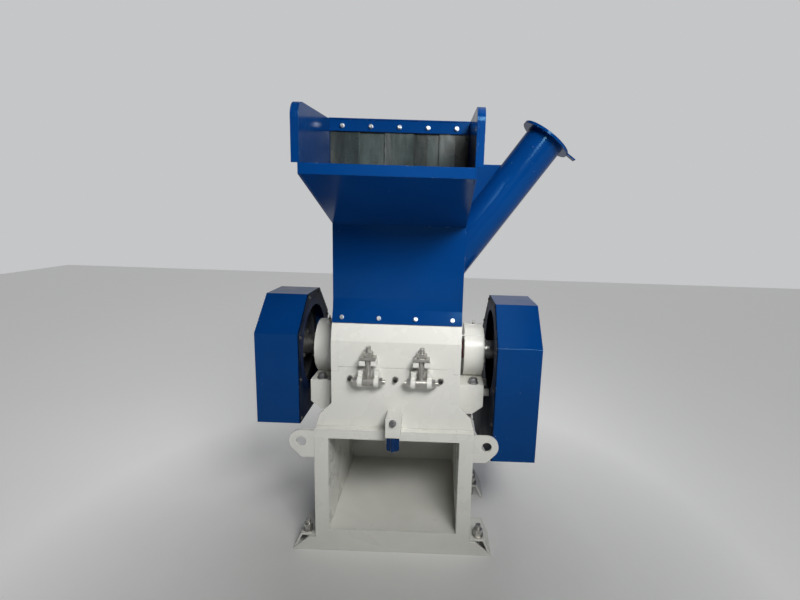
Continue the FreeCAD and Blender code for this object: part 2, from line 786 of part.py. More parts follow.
# Knives bolted inside the front and back plates, and the sieve under the rotor.
def cutting_set():
    front_inside = "ledge_depth + front_plate"
    back_inside = "housing_back_y - front_plate"
    front = block(
        "front_bed_knife", ("-cheek_inside_x", front_inside, "bed_knife_bottom_z"),
        ("cheek_inside_x", "bed_knife_edge_y", "bed_knife_top_z"),
    )
    back = block(
        "back_bed_knife", ("-cheek_inside_x", "base_depth - bed_knife_edge_y", "bed_knife_bottom_z"),
        ("cheek_inside_x", back_inside, "bed_knife_top_z"),
    )
    sub_part(group("bed_knife_pair", [front, back]), "bed_knives")
    middle = ("rotor_y", "rotor_z")
    outer = rod(
        "sieve_outer", X_AXIS, "screen_radius + screen_sheet", ("-cheek_inside_x", *middle),
        "2 * cheek_inside_x",
    )
    inner = rod(
        "sieve_inner", X_AXIS, "screen_radius", ("-2 * cheek_inside_x", *middle), "4 * cheek_inside_x",
    )
    above = block(
        "sieve_above",
        ("-2 * cheek_inside_x", "0", "bed_knife_bottom_z"),
        ("2 * cheek_inside_x", "base_depth", "2 * rotor_z"),
    )
    trough = cut("sieve_trough", cut("sieve_tube", outer, inner), above)
    lip_reach = "sqrt((screen_radius + screen_sheet / 2)^2 - (rotor_z - bed_knife_bottom_z)^2)"
    lips = [
        block(
            "sieve_front_lip", ("-cheek_inside_x", front_inside, "bed_knife_bottom_z - screen_sheet"),
            ("cheek_inside_x", f"rotor_y - {lip_reach}", "bed_knife_bottom_z"),
        ),
        block(
            "sieve_back_lip",
            ("-cheek_inside_x", f"rotor_y + {lip_reach}", "bed_knife_bottom_z - screen_sheet"),
            ("cheek_inside_x", back_inside, "bed_knife_bottom_z"),
        ),
    ]
    sub_part(fuse("sieve", [trough, *lips]), "screen")


# Hopper: neck, forward-sloping tray with its lip, cheeks with turned rims, cover and curtain.
def corner_edges(shape, y, z):
    """Names of the edges that run along X through a corner of the outline."""
    return [
        f"Edge{number}"
        for number, edge in enumerate(shape.Edges, start=1)
        if all(abs(vertex.Y - y) < 0.01 and abs(vertex.Z - z) < 0.01 for vertex in edge.Vertexes)
    ]


def rounded(body, y, z, radius):
    """Round the corner of a padded outline at a place in Y and Z."""
    doc.recompute()
    padded = body.Tip
    fillet = body.newObject("PartDesign::Fillet", f"{body.Name}_corner")
    fillet.Base = (padded, corner_edges(padded.Shape, y, z))
    fillet.setExpression("Radius", bound(radius))


def hopper():
    neck_front = [
        ("flange_bottom_y - sheet_thickness", "flange_bottom_z"),
        ("crown_y - sheet_thickness", "chamber_top_z"),
        ("neck_front_y", "neck_bend_z"),
        ("neck_front_y", "neck_top_z"),
        ("neck_front_y + sheet_thickness", "neck_top_z"),
        ("neck_front_y + sheet_thickness", "neck_bend_z"),
        ("crown_y", "chamber_top_z"),
        ("flange_bottom_y", "flange_bottom_z"),
    ]
    sub_part(
        plate("neck_front", "YZ_Plane", neck_front, "-chamber_half_width", "2 * chamber_half_width"),
        "hopper_neck_front",
    )
    neck_back = [
        ("base_depth - flange_bottom_y + sheet_thickness", "flange_bottom_z"),
        ("base_depth - crown_y + sheet_thickness", "chamber_top_z"),
        ("neck_back_y", "neck_bend_z"),
        ("neck_back_y", "cheek_top_z"),
        ("neck_back_y - sheet_thickness", "cheek_top_z"),
        ("neck_back_y - sheet_thickness", "neck_bend_z"),
        ("base_depth - crown_y", "chamber_top_z"),
        ("base_depth - flange_bottom_y", "flange_bottom_z"),
    ]
    sub_part(
        plate("neck_back", "YZ_Plane", neck_back, "-chamber_half_width", "2 * chamber_half_width"),
        "hopper_back_wall",
    )
    cheek = [
        ("neck_front_y + sheet_thickness", "neck_bend_z"),
        ("crown_y", "chamber_top_z"),
        ("base_depth - crown_y", "chamber_top_z"),
        ("neck_back_y - sheet_thickness", "neck_bend_z"),
        ("neck_back_y - sheet_thickness", "cheek_top_z"),
        ("curtain_y", "cheek_top_z"),
        ("tray_front_y", "cheek_front_z"),
        ("tray_front_y", "tray_front_z"),
        ("neck_front_y", "neck_top_z"),
        ("neck_front_y + sheet_thickness", "neck_top_z"),
    ]
    for side, sign in SIDES.items():
        wall = plate(
            f"{side}_cheek", "YZ_Plane", cheek,
            start_of("tray_half_width", "chamber_half_width", sign), "sheet_thickness",
        )
        rounded(wall, places.tray_front_y, places.cheek_front_z, "cheek_corner_radius")
        if side == "right":
            inside = tube_rod("tube_passage", "tube_radius - tube_wall", "-2 * tube_radius", "tube_length")
            wall = cut("right_cheek_bored", wall, inside)
        sub_part(wall, f"hopper_{side}_wall")
    tray = [
        ("neck_front_y", "neck_top_z"),
        ("tray_front_y", "tray_front_z"),
        ("tray_front_y", "lip_top_z"),
        ("tray_front_y + sheet_thickness", "lip_top_z"),
        ("tray_front_y + sheet_thickness", "tray_front_z + sheet_thickness"),
        ("neck_front_y + sheet_thickness", "neck_top_z + sheet_thickness"),
        ("neck_front_y + sheet_thickness", "neck_top_z"),
    ]
    sub_part(plate("tray", "YZ_Plane", tray, "-tray_half_width", "2 * tray_half_width"), "hopper_tray")
    rims = []
    for side, sign in SIDES.items():
        band = plate(
            f"{side}_rim_band", "YZ_Plane",
            [
                ("curtain_y", "cheek_top_z"),
                ("tray_front_y", "cheek_front_z"),
                ("tray_front_y", "lip_top_z"),
                ("curtain_y", "lip_top_z"),
            ],
            start_of("chamber_half_width", "chamber_half_width + rim_width", sign), "rim_width",
        )
        rounded(band, places.tray_front_y, places.cheek_front_z, "cheek_corner_radius")
        hollow = plate(
            f"{side}_rim_hollow", "YZ_Plane",
            [
                ("2 * curtain_y", "cheek_top_z - sheet_thickness"),
                ("curtain_y", "cheek_top_z - sheet_thickness"),
                ("tray_front_y + sheet_thickness", "cheek_front_z - sheet_thickness"),
                ("tray_front_y + sheet_thickness", "lip_top_z - rim_width"),
                ("2 * curtain_y", "lip_top_z - rim_width"),
            ],
            start_of("chamber_half_width - rim_width", "chamber_half_width + 2 * rim_width", sign),
            "3 * rim_width",
        )
        rounded(
            hollow, places.tray_front_y + SIZES["sheet_thickness"],
            places.cheek_front_z - SIZES["sheet_thickness"], "cheek_corner_radius - sheet_thickness",
        )
        rims.append(cut(f"{side}_rim", band, hollow))
    sub_part(group("rims", rims), "hopper_rims")
    cover = block(
        "cover", ("-chamber_half_width", "curtain_y", "cheek_top_z"),
        ("chamber_half_width", "neck_back_y", "cheek_top_z + sheet_thickness"),
    )
    sub_part(cover, "hopper_cover")
    bar = block(
        "bar", ("-tray_half_width", "curtain_y - bar_thickness", "bar_bottom_z"),
        ("tray_half_width", "curtain_y", "bar_top_z"),
    )
    sub_part(bar, "curtain_bar")
    strips = []
    for number in range(SIZES["strip_count"]):
        layer = f"curtain_y + {number % 2} * (strip_thickness + strip_layer_gap)"
        edge = f"{number} * (strip_width - strip_overlap) + strip_margin - tray_half_width"
        strips.append(
            block(
                f"strip_{number + 1}",
                (edge, layer, "strip_bottom_z"),
                (f"{edge} + strip_width", f"{layer} + strip_thickness", "bar_top_z"),
            )
        )
    sub_part(group("strips", strips), "curtain_strips")


# Feed tube: a pipe that leaves the right cheek upwards, with its flange and a web above it.
def tube_rod(name, radius, start, end):
    """Cylinder on the tube's axis, between two distances along it from the cheek."""
    cylinder = doc.addObject("Part::Cylinder", name)
    cylinder.Placement = Placement(Vector(), Rotation(Y_AXIS, 45))
    cylinder.setExpression("Placement.Rotation.Angle", bound("atan(tube_run / tube_rise)"))
    cylinder.setExpression(
        "Placement.Base.x", bound(f"chamber_half_width + ({start}) * tube_run / tube_length"),
    )
    cylinder.setExpression("Placement.Base.y", bound("tube_y"))
    cylinder.setExpression(
        "Placement.Base.z", bound(f"tube_root_z + ({start}) * tube_rise / tube_length"),
    )
    cylinder.setExpression("Radius", bound(radius))
    cylinder.setExpression("Height", bound(f"({end}) - ({start})"))
    return cylinder


def feed_tube():
    wall = cut(
        "tube_wall_long",
        tube_rod("tube_outer", "tube_radius", "-2 * tube_radius", "tube_length"),
        tube_rod("tube_inner", "tube_radius - tube_wall", "-4 * tube_radius", "2 * tube_length"),
    )
    inside = block(
        "inside_cheek", ("-chamber_half_width", "tube_y - 2 * tube_radius", "chamber_top_z"),
        ("chamber_half_width", "tube_y + 2 * tube_radius", "2 * tube_root_z"),
    )
    sub_part(cut("tube", wall, inside), "feed_tube")
    ring = cut(
        "ring",
        tube_rod("ring_outer", "tube_radius + tube_flange_width", "tube_length - tube_flange_thickness",
                 "tube_length"),
        tube_rod("ring_bore", "tube_radius", "tube_length - 2 * tube_flange_thickness",
                 "tube_length + tube_flange_thickness"),
    )
    tab = block(
        "flange_tab",
        ("tube_radius + tab_thickness", "-tab_half_width", "tube_length + tab_rise - tab_thickness"),
        ("tab_reach", "tab_half_width", "tube_length + tab_rise"),
    )
    holder = doc.addObject("Part::Compound", "flange_tab_leaning")
    holder.Links = [tab]
    holder.Placement = Placement(Vector(), Rotation(Y_AXIS, 45))
    holder.setExpression("Placement.Rotation.Angle", bound("atan(tube_run / tube_rise)"))
    for axis, expression in zip("xyz", ("chamber_half_width", "tube_y", "tube_root_z")):
        holder.setExpression(f"Placement.Base.{axis}", bound(expression))
    sub_part(fuse("ring_with_tab", [ring, holder]), "feed_tube_flange")
    web = plate(
        "web", "XZ_Plane",
        [
            ("chamber_half_width", "web_bottom_z"),
            ("chamber_half_width + (web_top_z - web_bottom_z) * tube_run / tube_rise", "web_top_z"),
            ("chamber_half_width", "web_top_z"),
        ],
        "tube_y - sheet_thickness / 2", "sheet_thickness",
    )
    sub_part(web, "feed_tube_web")


# Swing-bolt clamps that hold the upper chamber down on the lower one.
def clamps():
    ears = []
    pins = []
    keepers = []
    for side, sign in SIDES.items():
        centre = mirrored("clamp_x", sign)
        for edge, offset in (("inner", "ear_gap / 2"), ("outer", "-ear_gap / 2 - ear_thickness")):
            slab = block(
                f"{side}_{edge}_ear_slab", (f"{centre} + {offset}", "pivot_y", "pivot_z - ear_nose"),
                (f"{centre} + {offset} + ear_thickness", "ledge_depth", "pivot_z + ear_rise"),
            )
            nose = rod(
                f"{side}_{edge}_ear_nose", X_AXIS, "ear_nose",
                (f"{centre} + {offset}", "pivot_y", "pivot_z"), "ear_thickness",
            )
            hole = rod(
                f"{side}_{edge}_ear_hole", X_AXIS, "pin_radius",
                (f"{centre} + {offset} - ear_thickness", "pivot_y", "pivot_z"), "3 * ear_thickness",
            )
            ears.append(cut(f"{side}_{edge}_ear", fuse(f"{side}_{edge}_ear_blank", [slab, nose]), hole))
        pin_reach = "(ear_gap / 2 + ear_thickness + pin_nut_thickness + pin_end)"
        bar = rod(
            f"{side}_clamp_pin_bar", X_AXIS, "pin_radius", (f"{centre} - {pin_reach}", "pivot_y", "pivot_z"),
            f"2 * {pin_reach}",
        )
        nuts = [
            hexagon(
                f"{side}_pin_nut_{edge}", X_AXIS, "pin_nut_radius",
                (f"{centre} + {place}", "pivot_y", "pivot_z"), "pin_nut_thickness",
            )
            for edge, place in (
                ("inner", "ear_gap / 2 + ear_thickness"),
                ("outer", "-(ear_gap / 2 + ear_thickness + pin_nut_thickness)"),
            )
        ]
        pins.append(fuse(f"{side}_clamp_pin", [bar, *nuts]))
        fork = block(
            f"{side}_keeper_block",
            (f"{centre} - keeper_half_width", "pivot_y - keeper_nose", "keeper_bottom_z"),
            (f"{centre} + keeper_half_width", "ledge_depth", "keeper_top_z"),
        )
        slot = block(
            f"{side}_keeper_slot",
            (f"{centre} - keeper_slot_half_width", "pivot_y - 2 * keeper_nose",
             "keeper_bottom_z - keeper_thickness"),
            (f"{centre} + keeper_slot_half_width", "pivot_y + keeper_slot_half_width",
             "keeper_top_z + keeper_thickness"),
        )
        keepers.append(cut(f"{side}_keeper", fork, slot))
        eye = rod(
            f"{side}_eye_boss", X_AXIS, "eye_radius", (f"{centre} - eye_width / 2", "pivot_y", "pivot_z"),
            "eye_width",
        )
        shank = rod(
            f"{side}_bolt_shank", Z_AXIS, "swing_bolt_radius", (centre, "pivot_y", "pivot_z"),
            "washer_z + bolt_standing - pivot_z",
        )
        washer = block(
            f"{side}_clamp_washer",
            (f"{centre} - washer_half_width", "pivot_y - washer_half_depth", "washer_z"),
            (f"{centre} + washer_half_width", "pivot_y + washer_half_depth", "washer_z + washer_height"),
        )
        nut = hexagon(
            f"{side}_clamp_nut", Z_AXIS, "clamp_nut_radius", (centre, "pivot_y", "washer_z + washer_height"),
            "clamp_nut_height",
        )
        bore = rod(
            f"{side}_eye_bore", X_AXIS, "pin_radius + running_clearance",
            (f"{centre} - eye_width", "pivot_y", "pivot_z"), "2 * eye_width",
        )
        bolt = cut(f"{side}_swing", fuse(f"{side}_swing_blank", [eye, shank, washer, nut]), bore)
        sub_part(bolt, f"{side}_swing_bolt")
    sub_part(group("ears", ears), "clamp_ears")
    sub_part(group("pins", pins), "clamp_pins")
    sub_part(group("keepers", keepers), "clamp_keepers")


# Screen clamp: a bracket over the ledge with a hand grip on a screw that points down.
def screen_clamp():
    bracket = block(
        "latch_block", ("-latch_half_width", "-latch_overhang", "base_height"),
        ("latch_half_width", "ledge_depth", "latch_top_z"),
    )
    bore = rod(
        "latch_bore", Z_AXIS, "grip_screw_radius + running_clearance",
        ("0", "-grip_overhang", "grip_bottom_z"),
        "latch_top_z - latch_cap + grip_clearance - grip_bottom_z",
    )
    sub_part(cut("latch", bracket, bore), "screen_clamp_bracket")
    screw = rod(
        "grip_screw", Z_AXIS, "grip_screw_radius", ("0", "-grip_overhang", "grip_bottom_z - grip_tip"),
        "latch_top_z - latch_cap - grip_bottom_z + grip_tip",
    )
    grip = rod(
        "grip_body", Z_AXIS, "grip_radius", ("0", "-grip_overhang", "grip_bottom_z"),
        "grip_length - grip_clearance",
    )
    sub_part(fuse("grip_with_screw", [screw, grip]), "screen_clamp_grip")


# Guards: a faceted pan over the flywheel and another over the belts, each with a bored plate.
def guard(side, corners, inner, outer, sign):
    pan = plate(
        f"{side}_pan", "YZ_Plane", corners, start_of(f"{inner} + guard_sheet", outer, sign),
        f"{outer} - {inner} - guard_sheet",
    )
    doc.recompute()
    padded = pan.Tip
    open_x = sign * (getattr(places, inner) + SIZES["guard_sheet"])
    open_face = next(
        f"Face{number}"
        for number, face in enumerate(padded.Shape.Faces, start=1)
        if abs(face.CenterOfMass.x - open_x) < 0.01
    )
    hollow = pan.newObject("PartDesign::Thickness", f"{side}_pan_wall")
    hollow.Base = (padded, [open_face])
    hollow.Reversed = True
    hollow.setExpression("Value", bound("guard_sheet"))
    sub_part(pan, f"{side}_guard_shell")
    cover = plate(
        f"{side}_guard_plate_blank", "YZ_Plane", corners, start_of(inner, f"{inner} + guard_sheet", sign),
        "guard_sheet",
    )
    hole = rod(
        f"{side}_guard_hole", X_AXIS, "guard_hole_radius",
        (start_of(f"{inner} - guard_sheet", f"{inner} + 2 * guard_sheet", sign), "rotor_y", "rotor_z"),
        "3 * guard_sheet",
    )
    return cut(f"{side}_guard_plate_bored", cover, hole)


def guards():
    left = [
        ("rotor_y - left_guard_half", "left_guard_bottom_z"),
        ("rotor_y + left_guard_half", "left_guard_bottom_z"),
        ("rotor_y + left_guard_half", "left_guard_shoulder_z"),
        ("rotor_y + left_guard_facet", "left_guard_top_z"),
        ("rotor_y - left_guard_facet", "left_guard_top_z"),
        ("rotor_y - left_guard_half", "left_guard_shoulder_z"),
    ]
    plate_left = guard("left", left, "left_guard_inner_x", "left_guard_outer_x", -1)
    sub_part(plate_left, "left_guard_inner_plate")
    right = [
        ("rotor_y - right_guard_half", "right_guard_bottom_z"),
        ("motor_y - tail_front", "motor_z - tail_drop"),
        ("motor_y + tail_reach - tail_corner", "motor_z - tail_drop"),
        ("motor_y + tail_reach", "motor_z - tail_drop + tail_corner"),
        ("motor_y + tail_reach", "motor_z + tail_rise - tail_corner"),
        ("motor_y + tail_reach - tail_corner", "motor_z + tail_rise"),
        ("rotor_y + right_guard_facet", "right_guard_top_z"),
        ("rotor_y - right_guard_facet", "right_guard_top_z"),
        ("rotor_y - right_guard_half", "right_guard_shoulder_z"),
    ]
    plate_right = guard("right", right, "right_guard_inner_x", "right_guard_outer_x", 1)
    passage = rod(
        "motor_shaft_passage", X_AXIS, "motor_shaft_radius + shaft_passage_clearance",
        ("right_guard_inner_x - guard_sheet", "motor_y", "motor_z"), "3 * guard_sheet",
    )
    sub_part(cut("right_guard_plate", plate_right, passage), "right_guard_inner_plate")
    spacers = []
    for side, inner, sign in (("left", "left_guard_inner_x", -1), ("right", "right_guard_inner_x", 1)):
        for end, offset in (("front", "-spacer_offset_y"), ("rear", "spacer_offset_y")):
            spacers.append(
                rod(
                    f"{side}_{end}_spacer", X_AXIS, "spacer_radius",
                    (start_of("pedestal_outer_x", inner, sign), f"rotor_y + {offset}", "spacer_z"),
                    f"{inner} - pedestal_outer_x",
                )
            )
    sub_part(group("spacers", spacers), "guard_spacers")


# Drive at the back: motor on its stand, its pulley and the belts up to the rotor.
def drive():
    deck_bottom = "stand_top_z - stand_plate"
    back = "motor_y + stand_half_depth"
    deck = block(
        "stand_deck", ("-stand_half_width", "motor_y - stand_half_depth", deck_bottom),
        ("stand_half_width", back, "stand_top_z"),
    )
    sides = [
        block(
            f"{side}_stand_side",
            (start_of("stand_half_width - stand_plate", "stand_half_width", sign), "base_depth", "0"),
            (start_of("stand_half_width", "stand_half_width - stand_plate", sign), back, deck_bottom),
        )
        for side, sign in SIDES.items()
    ]
    sub_part(fuse("stand", [deck, *sides]), "motor_stand")
    middle = ("motor_y", "motor_z")
    barrel = rod("motor_barrel", X_AXIS, "motor_radius", ("motor_inner_x", *middle), "motor_length")
    feet_block = block(
        "motor_feet",
        ("motor_inner_x + motor_foot_inset", "motor_y - motor_foot_half_width", "stand_top_z"),
        ("stand_half_width - stand_margin", "motor_y + motor_foot_half_width", "motor_z - motor_radius / 2"),
    )
    stub = rod(
        "motor_stub", X_AXIS, "motor_shaft_radius", ("motor_outer_x", *middle),
        "right_guard_outer_x - shaft_end_room - motor_outer_x",
    )
    box_start = "motor_inner_x + terminal_box_start"
    terminals = block(
        "terminal_box", (box_start, "motor_y - terminal_box_half_width", "motor_z + motor_radius / 2"),
        (f"{box_start} + terminal_box_length", "motor_y + terminal_box_half_width",
         "motor_z + motor_radius + terminal_box_height"),
    )
    sub_part(fuse("motor_body", [barrel, feet_block, stub, terminals]), "motor")
    sub_part(
        grooved_wheel("big_pulley", "pulley_x", "rotor_y", "rotor_z", "pulley_radius", "shaft_radius",
                      "pulley_width"),
        "drive_pulley",
    )
    sub_part(
        grooved_wheel("small_pulley", "pulley_x", "motor_y", "motor_z", "motor_pulley_radius",
                      "motor_shaft_radius", "pulley_width"),
        "motor_pulley",
    )
    belts = []
    for number in range(SIZES["groove_count"]):
        belts.append(belt_loop(number))
    belt_set = doc.addObject("Part::Feature", "belt_set")
    belt_set.Shape = Part.makeCompound(belts)
    sub_part(belt_set, "drive_belts")


def belt_loop(number):
    """One belt: arcs round both pulleys joined by their common tangents, extruded to its width."""
    big = Vector(0, places.rotor_y, places.rotor_z)
    small = Vector(0, places.motor_y, SIZES["motor_z"])
    span = small - big
    distance = span.Length
    along = span / distance
    across = Vector(0, -along.z, along.y)
    faces = []
    for grow in (SIZES["belt_half_thickness"], -SIZES["belt_half_thickness"]):
        big_radius = places.pulley_radius + grow
        small_radius = SIZES["motor_pulley_radius"] + grow
        lean = (big_radius - small_radius) / distance
        rise = math.sqrt(1 - lean * lean)
        upper = along * lean + across * rise
        lower = along * lean - across * rise
        edges = [
            Part.LineSegment(big + upper * big_radius, small + upper * small_radius).toShape(),
            Part.Arc(
                small + upper * small_radius, small + along * small_radius, small + lower * small_radius,
            ).toShape(),
            Part.LineSegment(small + lower * small_radius, big + lower * big_radius).toShape(),
            Part.Arc(
                big + lower * big_radius, big - along * big_radius, big + upper * big_radius,
            ).toShape(),
        ]
        faces.append(Part.Face(Part.Wire(edges)))
    loop = faces[0].cut(faces[1]).Faces[0]
    pitch = SIZES["pulley_width"] / SIZES["groove_count"]
    solid = loop.extrude(Vector(SIZES["belt_width"], 0, 0))
    solid.translate(Vector(places.pulley_x + pitch * (number + 0.5) - SIZES["belt_width"] / 2, 0, 0))
    return solid


base_cabinet()
feet()
lifting_lugs()
chamber()
rotor()
cutting_set()
bearings()
hopper()
feed_tube()
clamps()
screen_clamp()
guards()
drive()
doc.recompute()

faults = [item.Name for item in doc.Objects if "Invalid" in item.State or "Error" in item.State]
for item in sub_parts:
    if item.Shape.isNull() or not item.Shape.isValid() or not item.Shape.Solids:
        faults.append(item.Label)
if faults:
    raise SystemExit("not built: " + ", ".join(faults))

os.makedirs("parts", exist_ok=True)
for item in sub_parts:
    item.Shape.exportStep(f"parts/{item.Label}.step")
print(len(sub_parts), "sub-parts written")
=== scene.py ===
import json
import math

import bmesh
import bpy
import numpy as np
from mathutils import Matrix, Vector


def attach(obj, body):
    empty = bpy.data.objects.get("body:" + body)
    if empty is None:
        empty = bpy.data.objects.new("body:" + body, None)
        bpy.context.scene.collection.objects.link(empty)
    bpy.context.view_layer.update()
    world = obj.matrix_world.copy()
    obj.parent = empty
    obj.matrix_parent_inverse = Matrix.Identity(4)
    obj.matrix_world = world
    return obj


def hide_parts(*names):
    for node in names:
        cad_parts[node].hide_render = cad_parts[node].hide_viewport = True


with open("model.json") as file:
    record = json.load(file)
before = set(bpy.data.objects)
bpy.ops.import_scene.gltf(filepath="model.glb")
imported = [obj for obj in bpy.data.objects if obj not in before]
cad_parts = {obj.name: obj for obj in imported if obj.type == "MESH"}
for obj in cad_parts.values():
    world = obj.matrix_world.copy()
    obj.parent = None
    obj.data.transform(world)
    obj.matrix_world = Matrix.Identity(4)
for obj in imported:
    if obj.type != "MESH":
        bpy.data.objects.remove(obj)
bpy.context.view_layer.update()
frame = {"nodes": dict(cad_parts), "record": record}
nodes = frame["nodes"]
mm = 0.001
print("frame loaded:", len(nodes), "nodes")


def addObject(name, data, place=(0, 0, 0), turn=(0, 0, 0)):
    thing = bpy.data.objects.new(name, data)
    thing.location, thing.rotation_euler = place, turn
    bpy.context.collection.objects.link(thing)
    return thing


def setSockets(tree, node, values):
    # a value is another node's socket, which is linked, or a number or colour, which is fixed
    for socket, value in values.items():
        if isinstance(value, bpy.types.NodeSocket):
            tree.links.new(value, node.inputs[socket])
        else:
            node.inputs[socket].default_value = value


def addNode(tree, kind, values=None, **settings):
    node = tree.nodes.new("ShaderNode" + kind)
    for option, value in settings.items():
        setattr(node, option, value)
    setSockets(tree, node, values or {})
    return node


def noise(tree, where, scale, detail=3.0, roughness=0.55, stretch=None):
    if stretch:
        where = addNode(tree, "Mapping", {"Vector": where, "Scale": stretch}).outputs["Vector"]
    values = {"Vector": where, "Scale": scale, "Detail": detail, "Roughness": roughness}
    return addNode(tree, "TexNoise", values).outputs["Fac"]


def remap(tree, value, fromLow, fromHigh, toLow=0.0, toHigh=1.0):
    values = {"Value": value, "From Min": fromLow, "From Max": fromHigh, "To Min": toLow, "To Max": toHigh}
    return addNode(tree, "MapRange", values).outputs["Result"]


def reckon(tree, operation, first, second=0.0):
    return addNode(tree, "Math", {0: first, 1: second}, operation=operation).outputs[0]


def times(tree, first, second):
    return reckon(tree, "MULTIPLY", first, second)


def along(tree, vector, axis):
    return addNode(tree, "SeparateXYZ", {0: vector}).outputs[axis]


def blendColour(tree, share, first, second):
    colours = [colour if isinstance(colour, bpy.types.NodeSocket) else (*colour, 1) for colour in (first, second)]
    return addNode(tree, "Mix", {0: share, 6: colours[0], 7: colours[1]}, data_type="RGBA").outputs[2]


def blendValue(tree, share, first, second):
    return addNode(tree, "Mix", {0: share, 2: first, 3: second}, data_type="FLOAT").outputs[0]


# the photograph's view: a fit to the straight edges of the machine
view = {
    "place": (0.1529, -1.5962, 1.3693),
    "turn": (1.39537, -0.03131, 0.01409),
    "lens": 19.942,
    "sensor": 36,
    "shift": (-0.04272, -0.01024),
}


def setCamera(view):
    lens = bpy.data.cameras.new("photo_view")
    lens.sensor_width = view["sensor"]
    lens.lens = view["lens"]
    lens.shift_x, lens.shift_y = view["shift"]
    bpy.context.scene.camera = addObject("photo_view", lens, view["place"], view["turn"])


lamps = {
    "window": {"place": (0.85, -1.95, 2.55), "aim": (0.09, 0.1, 1.22), "size": (1.0, 0.7), "power": 8.2,
               "spread": 62, "tint": (1, 0.992, 0.97)},
    "rightWindow": {"place": (1.5, -1.7, 2.9), "aim": (0.05, 0.1, 1.0), "size": (1.0, 0.7), "power": 7.0,
                    "spread": 100, "tint": (1, 0.992, 0.97)},
    "lowFill": {"place": (0.2, -2.6, 1.6), "aim": (0, 0.1, 0.8), "size": (1.6, 1.0), "power": 1.5,
                "tint": (1, 1, 1)},
    "ceiling": {"place": (0.4, 0.1, 4.0), "aim": (0.1, 0.1, 0.9), "size": (3.0, 1.4), "power": 9.2,
                "tint": (0.97, 0.985, 1)},
}


def addLamp(name, lamp):
    light = bpy.data.lights.new(name, "AREA")
    light.shape = "RECTANGLE"
    light.size, light.size_y = lamp["size"]
    light.energy = lamp["power"]
    light.color = lamp["tint"]
    light.spread = math.radians(lamp.get("spread", 180))
    aim = Vector(lamp["aim"]) - Vector(lamp["place"])
    addObject(name, light, lamp["place"], aim.to_track_quat("-Z", "Y").to_euler())


# painted light: the floor glows, from glowFrom to glowTo metres out, rising to its full far strength
room = {"backdrop": (0.56, 0.565, 0.575), "behind": (0.40, 0.41, 0.425), "before": (0.012, 0.013, 0.014),
        "turn": (0.45, 0.95), "floorSize": 16, "floorColour": (0.80, 0.80, 0.79), "floorRoughness": 0.6,
        "paintedFloorGlow": 0.36, "glowFrom": 0.4, "glowTo": 1.5}


def lightRoom(room):
    # the air behind the machine is bright and the air before it dim; the camera sees an even backdrop
    world = bpy.data.worlds.new("studio_air")
    world.use_nodes = True
    tree = world.node_tree
    backward = along(tree, addNode(tree, "TexCoord").outputs["Generated"], "Y")
    air = blendColour(tree, remap(tree, backward, *room["turn"]), room["before"], room["behind"])
    seen = addNode(tree, "LightPath").outputs["Is Camera Ray"]
    setSockets(tree, tree.nodes["Background"], {"Color": blendColour(tree, seen, air, room["backdrop"])})
    bpy.context.scene.world = world
    bpy.context.scene.view_settings.view_transform = "Standard"


setCamera(view)
for lampName, lamp in lamps.items():
    addLamp(lampName, lamp)
lightRoom(room)
print("camera and light set")


def startFinish(name):
    finish = bpy.data.materials.new(name)
    finish.use_nodes = True
    tree = finish.node_tree
    where = addNode(tree, "TexCoord").outputs["Object"]
    return finish, tree, tree.nodes["Principled BSDF"], where


def roundedEdge(tree, radius):
    # bevelled normal, and how far it leans from the true one: 1 on an edge, 0 on a flat
    rounded = addNode(tree, "Bevel", {"Radius": radius}, samples=6).outputs["Normal"]
    trueNormal = addNode(tree, "NewGeometry").outputs["True Normal"]
    lean = addNode(tree, "VectorMath", {0: rounded, 1: trueNormal}, operation="DOT_PRODUCT").outputs["Value"]
    return rounded, remap(tree, lean, 0.995, 0.86)


def bump(tree, height, strength, distance, normal):
    values = {"Height": height, "Strength": strength, "Distance": distance, "Normal": normal}
    return addNode(tree, "Bump", values).outputs["Normal"]


